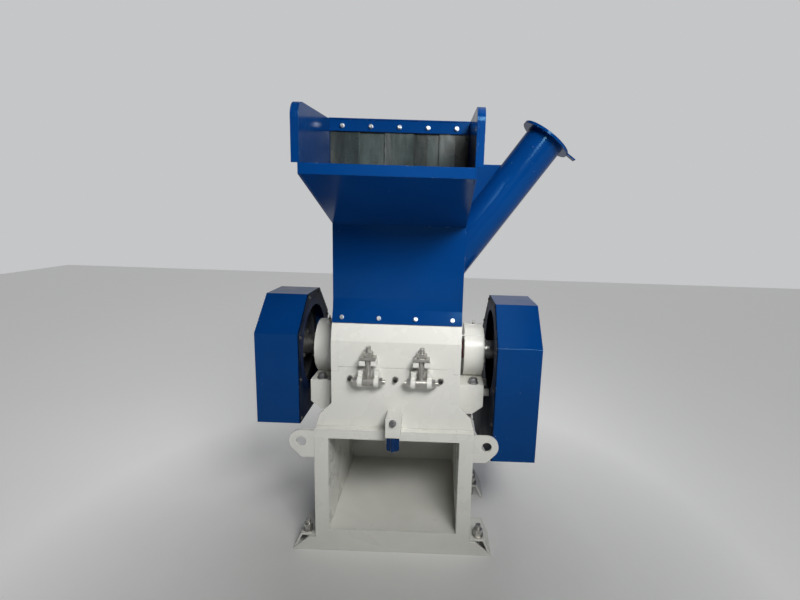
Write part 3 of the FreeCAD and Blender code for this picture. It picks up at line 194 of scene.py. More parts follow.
def paintFinish(name, look):
    # brushed and sprayed enamel: tone drifts, orange peel, dust on top faces, floor dirt, worn edges, chips
    finish, tree, shader, where = startFinish(name)
    drift = noise(tree, where, look["driftScale"], 4)
    colour = blendColour(tree, remap(tree, drift, 0.35, 0.68), look["colour"], look["shade"])
    rounded, edge = roundedEdge(tree, look["edgeRadius"])

    faceUp = along(tree, addNode(tree, "NewGeometry").outputs["Normal"], "Z")
    settled = times(tree, remap(tree, faceUp, 0.78, 0.98), remap(tree, noise(tree, where, 14, 5), 0.3, 0.75))
    dusty = times(tree, settled, look["dust"])
    colour = blendColour(tree, dusty, colour, look["dustColour"])

    nearFloor = remap(tree, along(tree, where, "Z"), 0.34, 0.0)
    splash = times(tree, nearFloor, remap(tree, noise(tree, where, 4, 3), 0.30, 0.72))
    stained = times(tree, splash, look["floorDirt"])
    colour = blendColour(tree, stained, colour, look["dirtColour"])

    smudge = noise(tree, where, 3.2, 3, 0.6)
    colour = blendColour(tree, remap(tree, smudge, 0.52, 0.85, 0.0, look["smudge"]), colour, look["dirtColour"])

    scuffs = noise(tree, where, 42, 5, 0.7)
    rubbed = times(tree, edge, remap(tree, scuffs, look["wearStart"], look["wearStart"] + 0.12))
    spots = noise(tree, where, 95, 2, 0.4)
    field = remap(tree, noise(tree, where, 5.5, 2), 0.56, 0.72)
    chips = times(tree, remap(tree, spots, look["chipStart"], look["chipStart"] + 0.015), field)
    bare = times(tree, reckon(tree, "MAXIMUM", rubbed, chips), look["wear"])
    colour = blendColour(tree, bare, colour, look["bareColour"])

    rough = remap(tree, noise(tree, where, 7, 5), 0.3, 0.7, *look["roughness"])
    for share, rougher in ((dusty, 0.7), (stained, 0.75), (bare, 0.5)):
        rough = blendValue(tree, share, rough, rougher)

    ripple = bump(tree, noise(tree, where, look["sheetWaveScale"], 1, 0.4), look["sheetWave"], 0.006, rounded)
    peel = bump(tree, noise(tree, where, 420, 2, 0.5), look["peel"], 0.0004, ripple)
    setSockets(tree, shader, {
        "Base Color": colour, "Roughness": rough, "Normal": bump(tree, bare, 0.25, 0.0003, peel),
        "Specular IOR Level": look["specular"], "Specular Tint": (*look["specularTint"], 1),
        "Coat Weight": look["coat"], "Coat Roughness": look["coatRoughness"],
    })
    return finish


def steelFinish(name, look):
    # bare or plated steel: tone and gloss vary, tool marks run round or along, oil and rust sit in patches
    finish, tree, shader, where = startFinish(name)
    rounded, edge = roundedEdge(tree, look["edgeRadius"])
    drift = noise(tree, where, look["driftScale"], 5, 0.65)
    colour = blendColour(tree, remap(tree, drift, 0.32, 0.7), look["colour"], look["shade"])
    rust = remap(tree, noise(tree, where, look["rustScale"], 7, 0.7), look["rustStart"], look["rustStart"] + 0.16)
    colour = blendColour(tree, rust, colour, look["rustColour"])
    marks = noise(tree, where, look["markScale"], 3, 0.6, look["markStretch"])
    rough = remap(tree, marks, 0.3, 0.7, *look["roughness"])
    scored = bump(tree, marks, look["markDepth"], 0.0003, rounded)
    setSockets(tree, shader, {
        "Base Color": blendColour(tree, times(tree, edge, look["edgeShine"]), colour, look["edgeColour"]),
        "Roughness": blendValue(tree, rust, rough, 0.85),
        "Metallic": blendValue(tree, rust, look["metallic"], 0.1),
        "Normal": bump(tree, rust, 0.4, 0.0005, scored),
    })
    return finish


whiteLook = {
    "colour": (0.765, 0.765, 0.725), "shade": (0.725, 0.725, 0.685), "driftScale": 1.4, "edgeRadius": 0.0016,
    "dust": 0.22, "dustColour": (0.60, 0.58, 0.52), "floorDirt": 0.20, "dirtColour": (0.34, 0.32, 0.27),
    "smudge": 0.03, "wearStart": 0.68, "chipStart": 0.80, "wear": 0.75, "bareColour": (0.23, 0.20, 0.175),
    "roughness": (0.22, 0.34), "sheetWaveScale": 2.2, "sheetWave": 0.10, "peel": 0.10, "coat": 0.0,
    "coatRoughness": 0.10, "specular": 0.45, "specularTint": (1, 1, 1),
}
bentLook = {**whiteLook, "edgeRadius": 0.0045, "wearStart": 0.72}
blueLook = {
    "colour": (0.0012, 0.0445, 0.203), "shade": (0.0010, 0.0355, 0.166), "driftScale": 2.1, "edgeRadius": 0.0025,
    "dust": 0.15, "dustColour": (0.22, 0.29, 0.42), "floorDirt": 0.30, "dirtColour": (0.07, 0.08, 0.10),
    "smudge": 0.05, "wearStart": 0.58, "chipStart": 0.745, "wear": 0.8, "bareColour": (0.34, 0.38, 0.42),
    "roughness": (0.09, 0.21), "sheetWaveScale": 2.6, "sheetWave": 0.14, "peel": 0.09, "coat": 0.0,
    "coatRoughness": 0.06, "specular": 0.30, "specularTint": (0.30, 0.72, 1),
}
motorLook = {**blueLook, "colour": (0.010, 0.055, 0.19), "shade": (0.008, 0.042, 0.15), "roughness": (0.34, 0.5),
             "sheetWave": 0.0, "peel": 0.22, "coat": 0.1, "wear": 0.9}
zincLook = {
    "colour": (0.60, 0.59, 0.56), "shade": (0.43, 0.42, 0.38), "driftScale": 60, "edgeRadius": 0.0009,
    "rustScale": 38, "rustStart": 0.68, "rustColour": (0.20, 0.10, 0.05), "edgeShine": 0.4,
    "edgeColour": (0.8, 0.8, 0.78), "markScale": 260, "markStretch": (1, 1, 1), "markDepth": 0.10,
    "metallic": 0.9, "roughness": (0.26, 0.46),
}
brightLook = {**zincLook, "colour": (0.52, 0.52, 0.51), "shade": (0.38, 0.38, 0.37), "driftScale": 12,
              "markScale": 900, "markStretch": (1, 0.03, 0.03), "roughness": (0.22, 0.42), "rustStart": 0.72}
toolLook = {**zincLook, "colour": (0.34, 0.34, 0.35), "shade": (0.22, 0.22, 0.23), "driftScale": 9,
            "markScale": 320, "markStretch": (0.05, 1, 1), "roughness": (0.28, 0.5), "rustStart": 0.63}
# painted shade: the inner plates of the guards take the blue paint made near black and dull, standing for the shade
# they lie in
shadedPlateLook = {**blueLook, "colour": (0.0012, 0.0080, 0.032), "shade": (0.0010, 0.0060, 0.024), "dust": 0.04,
             "roughness": (0.42, 0.58), "wear": 0.5, "specular": 0.07}
newBoltLook = {**zincLook, "colour": (0.76, 0.79, 0.82), "shade": (0.66, 0.69, 0.72)}
darkBoltLook = {**zincLook, "colour": (0.11, 0.11, 0.11), "shade": (0.06, 0.06, 0.06), "metallic": 0.7,
                "roughness": (0.34, 0.5), "edgeColour": (0.3, 0.3, 0.3)}
castLook = {**zincLook, "colour": (0.040, 0.045, 0.055), "shade": (0.025, 0.028, 0.034), "metallic": 0.15,
            "driftScale": 7, "markScale": 240, "markDepth": 0.5, "roughness": (0.5, 0.72), "rustStart": 0.60,
            "edgeColour": (0.30, 0.30, 0.31), "edgeShine": 0.5}


collarLook = {"from": 0.2495, "to": 0.2705, "colour": (0.13, 0.012, 0.014)}


def reopen(finish):
    # the tree of a finish, its shader, and the position that its patterns read
    tree = finish.node_tree
    position = next(node for node in tree.nodes if node.bl_idname == "ShaderNodeTexCoord")
    return tree, tree.nodes["Principled BSDF"], position.outputs["Object"]


def underneath(shader, socket):
    return shader.inputs[socket].links[0].from_socket


def shaftFinish(name, look, collar):
    # turned steel, with dark red paint on the collars between the chamber and the bearings
    finish = steelFinish(name, look)
    tree, shader, where = reopen(finish)
    fromMiddle = reckon(tree, "ABSOLUTE", along(tree, where, "X"))
    inside = times(tree, reckon(tree, "GREATER_THAN", fromMiddle, collar["from"]),
                   reckon(tree, "LESS_THAN", fromMiddle, collar["to"]))
    setSockets(tree, shader, {
        "Base Color": blendColour(tree, inside, underneath(shader, "Base Color"), collar["colour"]),
        "Metallic": blendValue(tree, inside, underneath(shader, "Metallic"), 0.0),
    })
    return finish


boreLook = {"axis": (0, 0.26, 0.795), "reach": 0.199, "soft": 0.0015, "colour": (0.010, 0.020, 0.070)}


def shadedPlateFinish(name, look, ring):
    # inner plate of a guard: painted shade makes its blue near black and dull, with a paler flat ring round its bore
    finish = paintFinish(name, look)
    tree, shader, where = reopen(finish)
    offset = addNode(tree, "VectorMath", {0: where, 1: ring["axis"]}, operation="SUBTRACT").outputs["Vector"]
    flat = addNode(tree, "VectorMath", {0: offset, 1: (0, 1, 1)}, operation="MULTIPLY").outputs["Vector"]
    away = addNode(tree, "VectorMath", {0: flat}, operation="LENGTH").outputs["Value"]
    inside = remap(tree, away, ring["reach"] + ring["soft"], ring["reach"])
    ringed = blendColour(tree, inside, underneath(shader, "Base Color"), ring["colour"])
    setSockets(tree, shader, {"Base Color": ringed})
    return finish


# how pale each half strip is, from the left, where two layers lie over each other and where they don't; the darkest
# halves also hold painted shade, as the last one at the right, beside the cheek
curtainLook = {"dark": (0.012, 0.017, 0.017), "light": (0.074, 0.098, 0.096), "scratch": (0.20, 0.23, 0.22),
               "roughness": (0.42, 0.16), "from": -0.244, "half": 0.0488,
               "layerAndShadeTones": (0.22, 0.42, 0.8, 0.75, 0.5, 0.7, 0.15, 0.55, 0.8, 0.0)}


def curtainFinish(name, look):
    # smoky flexible strip: cloudy tone, long rub marks down it, a wavy sheen
    finish, tree, shader, where = startFinish(name)
    cloud = noise(tree, where, 11, 5, 0.65, (1, 1, 0.75))
    # painted shade: the steps of paleness across the strips darken the halves that lie in shade, besides showing the
    # overlap of the two layers
    count = len(look["layerAndShadeTones"])
    step = remap(tree, along(tree, where, "X"), look["from"], look["from"] + look["half"] * count)
    ramp = addNode(tree, "ValToRGB", {"Fac": step})
    ramp.color_ramp.interpolation = "CONSTANT"
    while len(ramp.color_ramp.elements) < count:
        ramp.color_ramp.elements.new(1)
    for number, (stop, tone) in enumerate(zip(ramp.color_ramp.elements, look["layerAndShadeTones"])):
        stop.position = number / count
        stop.color = (tone, tone, tone, 1)
    stripToneAndShade = times(tree, ramp.outputs["Color"], remap(tree, cloud, 0.36, 0.64, 0.3, 1.4))
    colour = blendColour(tree, stripToneAndShade, look["dark"], look["light"])
    rubs = noise(tree, where, 130, 3, 0.6, (1, 1, 0.05))
    worn = times(tree, remap(tree, rubs, 0.60, 0.78), remap(tree, noise(tree, where, 12, 3), 0.45, 0.7))
    waves = bump(tree, noise(tree, where, 20, 2, 0.5, (1, 1, 0.35)), 0.6, 0.006, roundedEdge(tree, 0.0012)[0])
    setSockets(tree, shader, {
        "Base Color": blendColour(tree, times(tree, worn, 0.7), colour, look["scratch"]),
        "Roughness": remap(tree, cloud, 0.3, 0.7, *look["roughness"]),
        "Normal": bump(tree, rubs, 0.12, 0.0003, waves),
    })
    return finish


knobLook = {"colour": (0.0008, 0.017, 0.085), "shade": (0.0012, 0.026, 0.12), "roughness": (0.10, 0.20),
            "specular": 0.36, "specularTint": (0.45, 0.75, 1)}


def knobFinish(name, look):
    # moulded plastic: fine skin, greasy patches where hands turn it
    finish, tree, shader, where = startFinish(name)
    hands = noise(tree, where, 55, 4)
    skin = noise(tree, where, 1400, 2)
    setSockets(tree, shader, {
        "Base Color": blendColour(tree, hands, look["colour"], look["shade"]),
        "Roughness": remap(tree, hands, 0.35, 0.65, *look["roughness"]),
        "Specular IOR Level": look["specular"], "Specular Tint": (*look["specularTint"], 1),
        "Normal": bump(tree, skin, 0.14, 0.0002, roundedEdge(tree, 0.0015)[0]),
    })
    return finish


beltLook = {"colour": (0.016, 0.016, 0.017), "dust": (0.075, 0.072, 0.066), "roughness": (0.55, 0.8)}


def beltFinish(name, look):
    # ribbed rubber with cloth faces: fine weave, pale dust from the grooves
    finish, tree, shader, where = startFinish(name)
    dust = remap(tree, noise(tree, where, 24, 5), 0.45, 0.75)
    weave = addNode(tree, "TexWave", {"Vector": where, "Scale": 420, "Distortion": 0.6}, bands_direction="DIAGONAL")
    setSockets(tree, shader, {
        "Base Color": blendColour(tree, dust, look["colour"], look["dust"]),
        "Roughness": remap(tree, dust, 0, 1, *look["roughness"]),
        "Normal": bump(tree, weave.outputs["Fac"], 0.2, 0.0002, roundedEdge(tree, 0.001)[0]),
    })
    return finish


finishes = {
    "white_paint": paintFinish("white_enamel", whiteLook),
    "bent_plate": paintFinish("white_enamel_on_bent_plate", bentLook),
    "blue_paint": paintFinish("blue_enamel", blueLook),
    "motor_paint": paintFinish("motor_enamel", motorLook),
    "zinc_steel": steelFinish("zinc_plate", zincLook),
    "bright_steel": steelFinish("bright_steel", brightLook),
    "tool_steel": steelFinish("tool_steel", toolLook),
    "cast_iron": steelFinish("cast_iron", castLook),
    "curtain_rubber": curtainFinish("smoky_strip", curtainLook),
    "grip_plastic": knobFinish("moulded_knob", knobLook),
    "belt_rubber": beltFinish("drive_belt", beltLook),
    "shaft_steel": shaftFinish("turned_shaft", brightLook, collarLook),
    "dark_bolt": steelFinish("blackened_bolt", darkBoltLook),
    "new_bolt": steelFinish("new_plated_bolt", newBoltLook),
    "guard_plate": shadedPlateFinish("guard_plate_enamel_in_painted_shade", shadedPlateLook, boreLook),
}


def floorFinish(look):
    finish, tree, shader, where = startFinish("pale_floor_with_painted_glow")
    pale = look["floorColour"]
    worn = tuple(0.93 * channel for channel in pale)
    cloudy = remap(tree, noise(tree, where, 1.1, 6, 0.6), 0.3, 0.7)
    # painted light: the floor glows more the farther it lies from its middle under the machine, standing for light
    # spilt from the lit backdrop, and the glow also lights the machine
    away = addNode(tree, "VectorMath", {0: where}, operation="LENGTH").outputs["Value"]
    setSockets(tree, shader, {
        "Base Color": blendColour(tree, cloudy, pale, worn), "Roughness": look["floorRoughness"],
        "Emission Strength": remap(tree, away, look["glowFrom"], look["glowTo"], 0.0, look["paintedFloorGlow"]),
        "Emission Color": (1, 1, 1, 1),
    })
    return finish


def layFloor(room):
    half = room["floorSize"] / 2
    corners = [(-half, -half, 0), (half, -half, 0), (half, half, 0), (-half, half, 0)]
    mesh = bpy.data.meshes.new("studio_floor")
    mesh.from_pydata(corners, [], [(0, 1, 2, 3)])
    mesh.materials.append(floorFinish(room))
    floor = addObject("studio_floor", mesh)


layFloor(room)
slotOf = {part["node"]: part["material_slot"] for part in frame["record"]["subparts"]}
bentPlates = ("base_front_frame", "base_floor", "lower_housing_front", "screen_clamp_bracket", "foot_pads")
specialFinish = {"rotor_shaft": "shaft_steel", "left_guard_inner_plate": "guard_plate",
                 "right_guard_inner_plate": "guard_plate", **dict.fromkeys(bentPlates, "bent_plate")}
for name, node in nodes.items():
    finish = finishes[specialFinish.get(name, slotOf[name])]
    node.data.materials.clear()
    node.data.materials.append(finish)
print("finishes on", len(nodes), "nodes")


# the height at which a screw starts, just inside the face that it sits on
sunk = -0.001


def joinGrids(name, tubes, finish, body="base", smoothAngle=40, sheets=()):
    # each grid is (count, rows, columns, 3), and each cell of it becomes a face; the columns of a tube close round
    points, faces, start = [], [], 0
    for grid, closed in [(grid, True) for grid in tubes] + [(grid, False) for grid in sheets]:
        count, rows, columns, _ = grid.shape
        row, column = np.meshgrid(np.arange(rows - 1), np.arange(columns if closed else columns - 1), indexing="ij")
        after = (column + 1) % columns
        cell = np.stack([row * columns + column, row * columns + after,
                         (row + 1) * columns + after, (row + 1) * columns + column], -1).reshape(-1, 4)
        shift = np.arange(count)[:, None, None] * rows * columns + start
        faces.append((cell[None] + shift).reshape(-1, 4))
        points.append(grid.reshape(-1, 3))
        start += count * rows * columns
    piece = addObject(name, cleanMesh(name, np.concatenate(points), np.concatenate(faces), smoothAngle))
    piece.data.materials.append(finishes[finish])
    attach(piece, body)
    return piece


def cleanMesh(name, points, faces, smoothAngle):
    mesh = bpy.data.meshes.new(name)
    mesh.from_pydata(points.tolist(), [], faces.tolist())
    shape = bmesh.new()
    shape.from_mesh(mesh)
    bmesh.ops.remove_doubles(shape, verts=shape.verts, dist=1e-6)
    bmesh.ops.dissolve_degenerate(shape, edges=shape.edges, dist=1e-7)
    bmesh.ops.recalc_face_normals(shape, faces=shape.faces)
    for edge in shape.edges:
        edge.smooth = len(edge.link_faces) == 2 and edge.calc_face_angle(0) < math.radians(smoothAngle)
    for face in shape.faces:
        face.smooth = True
    shape.to_mesh(mesh)
    shape.free()
    return mesh


def crossAxes(aim):
    # the aim and two directions square to it, each of length 1
    aim = np.asarray(aim, float) / np.linalg.norm(aim)
    side = np.cross(aim, (0, 0, 1) if abs(aim[2]) < 0.9 else (1, 0, 0))
    side /= np.linalg.norm(side)
    return aim, side, np.cross(aim, side)


def turnedGrid(places, aim, rings, columns=24):
    # ring k stands at height h_k along the aim, with radius r_k times a blend of circle and hexagon:
    # 1 - s_k + s_k cos 30 / cos(angle within its side); a ring given without s_k is round
    places = np.atleast_2d(np.asarray(places, float))
    aim, side, other = crossAxes(aim)
    height, radius, hexShare = np.array([(*ring, 0)[:3] for ring in rings], float).T
    angle = np.linspace(0, 2 * np.pi, columns, endpoint=False)
    flat = np.cos(np.pi / 6) / np.cos((angle + np.pi / 6) % (np.pi / 3) - np.pi / 6)
    reach = radius[:, None] * (1 - hexShare[:, None] + hexShare[:, None] * flat[None])
    local = (reach[..., None] * (np.cos(angle)[:, None] * side + np.sin(angle)[:, None] * other)
             + height[:, None, None] * aim)
    return places[:, None, None] + local[None]


def hexBolt(across, head, washer=0.0, washerWiden=1.25, stud=0.0, studRadius=0.0):
    # profile of a washer, a chamfered hexagon and the bolt end that stands out of it
    corner = across / 2 / math.cos(math.pi / 6)
    rings = [(sunk, 0)]
    if washer:
        wide = corner * washerWiden
        rings += [(sunk, wide), (washer * 0.8, wide), (washer, wide * 0.975), (washer, corner, 1)]
    else:
        rings += [(sunk, corner, 1)]
    top = washer + head
    rings += [(top - 0.12 * head, corner, 1), (top, corner * 0.84, 0.15)]
    if stud:
        rings += [(top, studRadius), (top + stud - 0.001, studRadius), (top + stud, studRadius * 0.8), (top + stud, 0)]
    else:
        rings += [(top - 0.02 * head, corner * 0.45), (top - 0.02 * head, 0)]
    return rings


def threadGrid(start, aim, length, v, columns=16):
    # radius is the outer one less depth times a zigzag of (height / pitch - angle / full turn)
    aim, side, other = crossAxes(aim)
    height = np.linspace(0, length, int(length / v["pitch"] * 4) + 1)
    angle = np.linspace(0, 2 * np.pi, columns, endpoint=False)
    phase = (height[:, None] / v["pitch"] - angle[None] / (2 * np.pi)) % 1
    reach = v["outer"] - v["depth"] * np.abs(2 * phase - 1)
    reach = np.vstack([np.zeros(columns), reach, np.zeros(columns)])
    height = np.concatenate([[height[0]], height, [height[-1]]])
    around = np.cos(angle)[:, None] * side + np.sin(angle)[:, None] * other
    grid = np.asarray(start, float) + reach[..., None] * around[None] + height[:, None, None] * aim
    return grid[None]


def weldGrid(path, radius, pitch=0.006, columns=8, stations=None):
    # a round profile carried along the path; its radius swells with |sin(pi run / pitch)|
    path = np.asarray(path, float)
    step = np.linalg.norm(np.diff(path, axis=0), axis=1)
    run = np.concatenate([[0], np.cumsum(step)])
    count = stations or max(4, int(run[-1] / pitch * 3))
    along = np.linspace(0, run[-1], count)
    centre = np.stack([np.interp(along, run, path[:, k]) for k in range(3)], -1)
    tangent = np.gradient(centre, axis=0)
    tangent /= np.linalg.norm(tangent, axis=1, keepdims=True)
    side = np.cross(tangent, (0.31, 0.57, 0.76))
    side /= np.linalg.norm(side, axis=1, keepdims=True)
    other = np.cross(tangent, side)
    angle = np.linspace(0, 2 * np.pi, columns, endpoint=False)
    swell = radius * (0.92 + 0.16 * np.abs(np.sin(np.pi * along / pitch)))
    swell[[0, -1]] *= 0.3
    ring = np.cos(angle)[None, :, None] * side[:, None] + np.sin(angle)[None, :, None] * other[:, None]
    grid = centre[:, None] + swell[:, None, None] * ring
    ends = np.repeat(centre[[0, -1]][:, None], columns, axis=1)
    return np.concatenate([ends[:1], grid, ends[1:]])[None]


def socketScrew(radius, head, socket):
    # profile of a round head with a hexagon socket
    return [(sunk, 0), (0, radius), (head - 0.1 * head, radius), (head, radius * 0.9), (head, socket * 1.08),
            (head - 0.06 * head, socket, 1), (head - 0.6 * head, socket, 1), (head - 0.7 * head, 0)]


def placeScrews(name, rows, rings, finish="zinc_steel", body="base"):
    # rows of (places in millimetres, the way the heads face)
    grids = [turnedGrid(np.array(places, float) * mm, aim, rings) for places, aim in rows]
    joinGrids(name, grids, finish, body)


def frontAndBack(v, outward=1, upward=0):
    return [([(x, v[side], v["z"]) for x in v["x"]], (0, sign * outward, upward))
            for side, sign in (("front", -1), ("back", 1))]


def spotsRound(x, centre, reach, count, turn=0.0):
    # places on a circle that faces along x
    angle = np.linspace(0, 2 * np.pi, count, endpoint=False) + turn
    return np.stack([np.full(count, x), centre[0] + reach * np.cos(angle), centre[1] + reach * np.sin(angle)], -1)


# hexagon screws through the sloped flange of the hopper, front and back
flangeScrews = {"shape": {"across": 0.013, "head": 0.007, "washer": 0.0014, "washerWiden": 1.15},
                "x": (-213, -71, 71, 213), "z": 966, "front": 58.2, "back": 461.8, "lean": (0.938, 0.347)}
placeScrews("hopper_flange_screws", frontAndBack(flangeScrews, *flangeScrews["lean"]),
            hexBolt(**flangeScrews["shape"]), "new_bolt")

# bright screws that hold the curtain to its bar
barScrews = {"shape": {"across": 0.0118, "head": 0.007, "washer": 0.0015, "washerWiden": 1.18},
             "x": (-200, -100, 0, 100, 200), "y": 25, "z": 1661}
placeScrews("curtain_bar_screws", [([(x, barScrews["y"], barScrews["z"]) for x in barScrews["x"]], (0, -1, 0))],
            hexBolt(**barScrews["shape"]), "new_bolt")

# nuts and studs that pull the bearings down on their pedestals
pedestalNuts = {"shape": {"across": 0.030, "head": 0.015, "washer": 0.005, "washerWiden": 1.28, "stud": 0.004,
                          "studRadius": 0.010}, "x": 309, "y": (131, 389), "z": 690}
spots = [(sign * pedestalNuts["x"], y, pedestalNuts["z"]) for sign in (-1, 1) for y in pedestalNuts["y"]]
placeScrews("pedestal_nuts", [(spots, (0, 0, 1))], hexBolt(**pedestalNuts["shape"]), "tool_steel")

# blackened socket screws of the bed knives, with bright washers, in the front and back plates
knifeScrews = {"radius": 0.009, "head": 0.015, "socket": 0.005, "x": (-175, 0, 175), "z": 731, "front": 31,
               "back": 489,
               "washer": [(sunk, 0), (sunk, 0.0128), (0.0024, 0.0128), (0.003, 0.0128 * 0.96), (0.003, 0)]}
placeScrews("bed_knife_screws", frontAndBack(knifeScrews),
            socketScrew(knifeScrews["radius"], knifeScrews["head"], knifeScrews["socket"]), "dark_bolt")
placeScrews("bed_knife_washers", frontAndBack(knifeScrews), knifeScrews["washer"])

# nut and stud high on the front of the screen clamp bracket
bracketNut = {"shape": {"across": 0.0215, "head": 0.007, "washer": 0.002, "washerWiden": 1.12, "stud": 0.0035,
                        "studRadius": 0.006}, "place": (0, -52, 590)}
placeScrews("bracket_nut", [([bracketNut["place"]], (0, -1, 0))], hexBolt(**bracketNut["shape"]), "tool_steel")
print("screws and nuts placed")


# swing bolts: rolled threads between eye and washer and above the nut
swingThreads = {"x": 101, "y": 2, "outer": 0.0098, "pitch": 0.0026, "depth": 0.0007,
                "runs": ((747, 820.5), (849.5, 868))}
for side, sign in (("left", -1), ("right", 1)):
    grids = [threadGrid((sign * swingThreads["x"] * mm, swingThreads["y"] * mm, low * mm), (0, 0, 1),
                        (high - low) * mm, swingThreads) for low, high in swingThreads["runs"]]
    joinGrids(side + "_swing_threads", grids, "zinc_steel", side + "_bolt", smoothAngle=50)

# threaded ends of the pivot pins
pinThreads = {"centre": 101, "from": 54.5, "to": 64.5, "y": 2, "z": 731, "outer": 0.0097, "pitch": 0.0025,
              "depth": 0.0006}
grids = []
for sign in (-1, 1):
    for end in (-1, 1):
        start = (sign * pinThreads["centre"] + end * pinThreads["from"], pinThreads["y"], pinThreads["z"])
        length = (pinThreads["to"] - pinThreads["from"]) * mm
        grids.append(threadGrid(np.array(start) * mm, (end, 0, 0), length, pinThreads))
joinGrids("pin_threads", grids, "zinc_steel", smoothAngle=50)
print("threads cut")


# hand knob of the screen clamp: reach = mean + lobe cos(lobes angle), drawn in at both ends, on a bright screw
gripKnob = {"centre": (0, -30), "low": 470, "high": 527.5, "mean": 22.0, "lobe": 3.9, "lobes": 5, "neck": 15,
            "round": 7}


def knobGrid(v):
    # pull is how far each ring is drawn in, and 99 closes it on the axis
    angle = np.linspace(0, 2 * np.pi, 72, endpoint=False)
    height = np.concatenate([[0, 0, 0.6, 2.2, 4.6, v["round"]], np.linspace(12, 44, 5),
                             v["high"] - v["low"] - np.array([v["round"], 4.6, 2.2, 0.6, 0, 0])])
    pull = np.array([99, v["neck"] * 0.6, 3.6, 1.8, 0.6, 0] + [0] * 5 + [0, 0.6, 1.8, 3.6, v["neck"] * 0.55, 99])
    flat = np.clip(pull / 8, 0, 1)[:, None]
    reach = v["mean"] - np.minimum(pull, v["mean"])[:, None]
    reach = np.maximum(reach + v["lobe"] * (1 - flat) * np.cos(v["lobes"] * (angle + np.pi / 2))[None], 0)
    reach[[0, -1]] = 0
    x = v["centre"][0] + reach * np.cos(angle)
    y = v["centre"][1] + reach * np.sin(angle)
    z = np.broadcast_to((v["low"] + height)[:, None], reach.shape)
    return np.stack([x, y, z], -1)[None] * mm


knob = joinGrids("clamp_knob", [knobGrid(gripKnob)], "grip_plastic", "grip", smoothAngle=60)
knobScrews = (((0, -0.030, 0.4605), [(0, 0), (0, 0.0055), (0.0022, 0.0078), (0.0095, 0.0078), (0.0095, 0)]),
              ((0, -0.030, 0.5272), [(0, 0), (0, 0.0095), (0.0022, 0.0095), (0.0026, 0.008), (0.0500, 0.008),
                                     (0.0500, 0)]))
joinGrids("clamp_knob_screw", [turnedGrid(place, (0, 0, 1), rings) for place, rings in knobScrews],
          "zinc_steel", "grip")
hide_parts("screen_clamp_grip")


# smoky strips of the curtain: each hangs from the bar, ripples more towards its foot and curls at its edges
curtain = {"count": 5, "from": -244, "width": 104, "pitch": 96, "top": 1680.5, "foot": 1357.5, "front": 31,
           "gap": 4.5, "thickness": 3.6, "ripple": 1.7, "rippleLength": 190, "curl": 2.2, "curlWidth": 16}


def stripPiece(v):
    across, down = 25, 41
    u = np.linspace(0, 1, across)[None, :]
    w = np.linspace(0, 1, down)[:, None]
    grids = []
    for number in range(v["count"]):
        x = v["from"] + number * v["pitch"] + u * v["width"] + 0 * w
        z = v["top"] + (v["foot"] + 2.5 * np.sin(2.1 * number + 3 * u) - v["top"]) * w
        loose = np.clip(w * 3.0, 0, 1)
        ripple = np.sin(2 * np.pi * x / v["rippleLength"] + 1.1 + 1.3 * w) + 0.4 * np.sin(x / 17 + 5 * w)
        edge = np.exp(-np.minimum(u, 1 - u) * v["width"] / v["curlWidth"])
        layer = number % 2
        y = v["front"] + layer * v["gap"] + loose * (v["ripple"] * ripple + (2 * layer - 1) * v["curl"] * edge)
        near = np.stack([x, y, z], -1)
        far = near + (0, v["thickness"], 0)
        # near face, foot, far face: one loop down the front and up the back
        loop = np.concatenate([near, far[::-1]], axis=0)
        loop = np.concatenate([loop, loop[:1]], axis=0)
        grids.append(loop[None] * mm)
        for column in (0, -1):
            side = np.stack([near[:, column], far[:, column]], axis=1)
            grids.append(side[None] * mm)
    return grids


strips = joinGrids("curtain_hanging_strips", [], "curtain_rubber", smoothAngle=45, sheets=stripPiece(curtain))
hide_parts("curtain_strips")
print("curtain hung")


# flywheel turned from a casting: hub, thin web and heavy rim
wheel = {"centre": (-459.75, 260, 795), "half": 35, "bore": 40.2, "hub": 66, "web": 11, "rim": 168, "outer": 214.6}


def wheelRings(v):
    half, web = v["half"] * mm, v["web"] * mm
    bore, hub, rim, outer = (v[key] * mm for key in ("bore", "hub", "rim", "outer"))
    soft = 0.003
    near = [(-half, bore), (-half, hub - soft), (-half + soft, hub), (-web - soft, hub + soft), (-web, hub + 4 * soft),
            (-web, rim - 4 * soft), (-web - soft, rim - soft), (-half + soft, rim), (-half, rim + soft),
            (-half, outer - soft), (-half + soft, outer)]
    return near + [(-height, radius) for height, radius in reversed(near)] + [near[0]]


wheelGrid = turnedGrid(np.array(wheel["centre"]) * mm, (1, 0, 0), wheelRings(wheel), 96)
wheelPiece = joinGrids("flywheel_casting", [wheelGrid], "cast_iron", "rotor")
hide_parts("flywheel")
wheelScrews = {"shape": {"across": 0.019, "head": 0.01, "washer": 0.002}, "reach": 53, "count": 6}
for side, sign in (("inner", 1), ("outer", -1)):
    spots = spotsRound(wheel["centre"][0] + sign * wheel["half"], wheel["centre"][1:], wheelScrews["reach"],
                       wheelScrews["count"])
    placeScrews("flywheel_" + side + "_screws", [(spots, (sign, 0, 0))], hexBolt(**wheelScrews["shape"]), "dark_bolt",
                "rotor")

# bearing covers with their screws on the outer faces, and a grease nipple on each housing
cover = {"x": 348, "centre": (260, 795), "thickness": 0.006, "inner": 0.0435, "outer": 0.096,
         "screws": {"across": 0.013, "head": 0.006}, "screwReach": 84, "screwCount": 6, "screwTurn": 0.3}


def coverRings(v):
    thick, inner, outer = v["thickness"], v["inner"], v["outer"]
    return [(-0.0005, inner), (-0.0005, outer), (thick - 0.0015, outer), (thick, outer - 0.0015), (thick, 0.066),
            (thick + 0.005, 0.061), (thick + 0.005, inner + 0.001), (thick + 0.004, inner), (-0.0005, inner)]


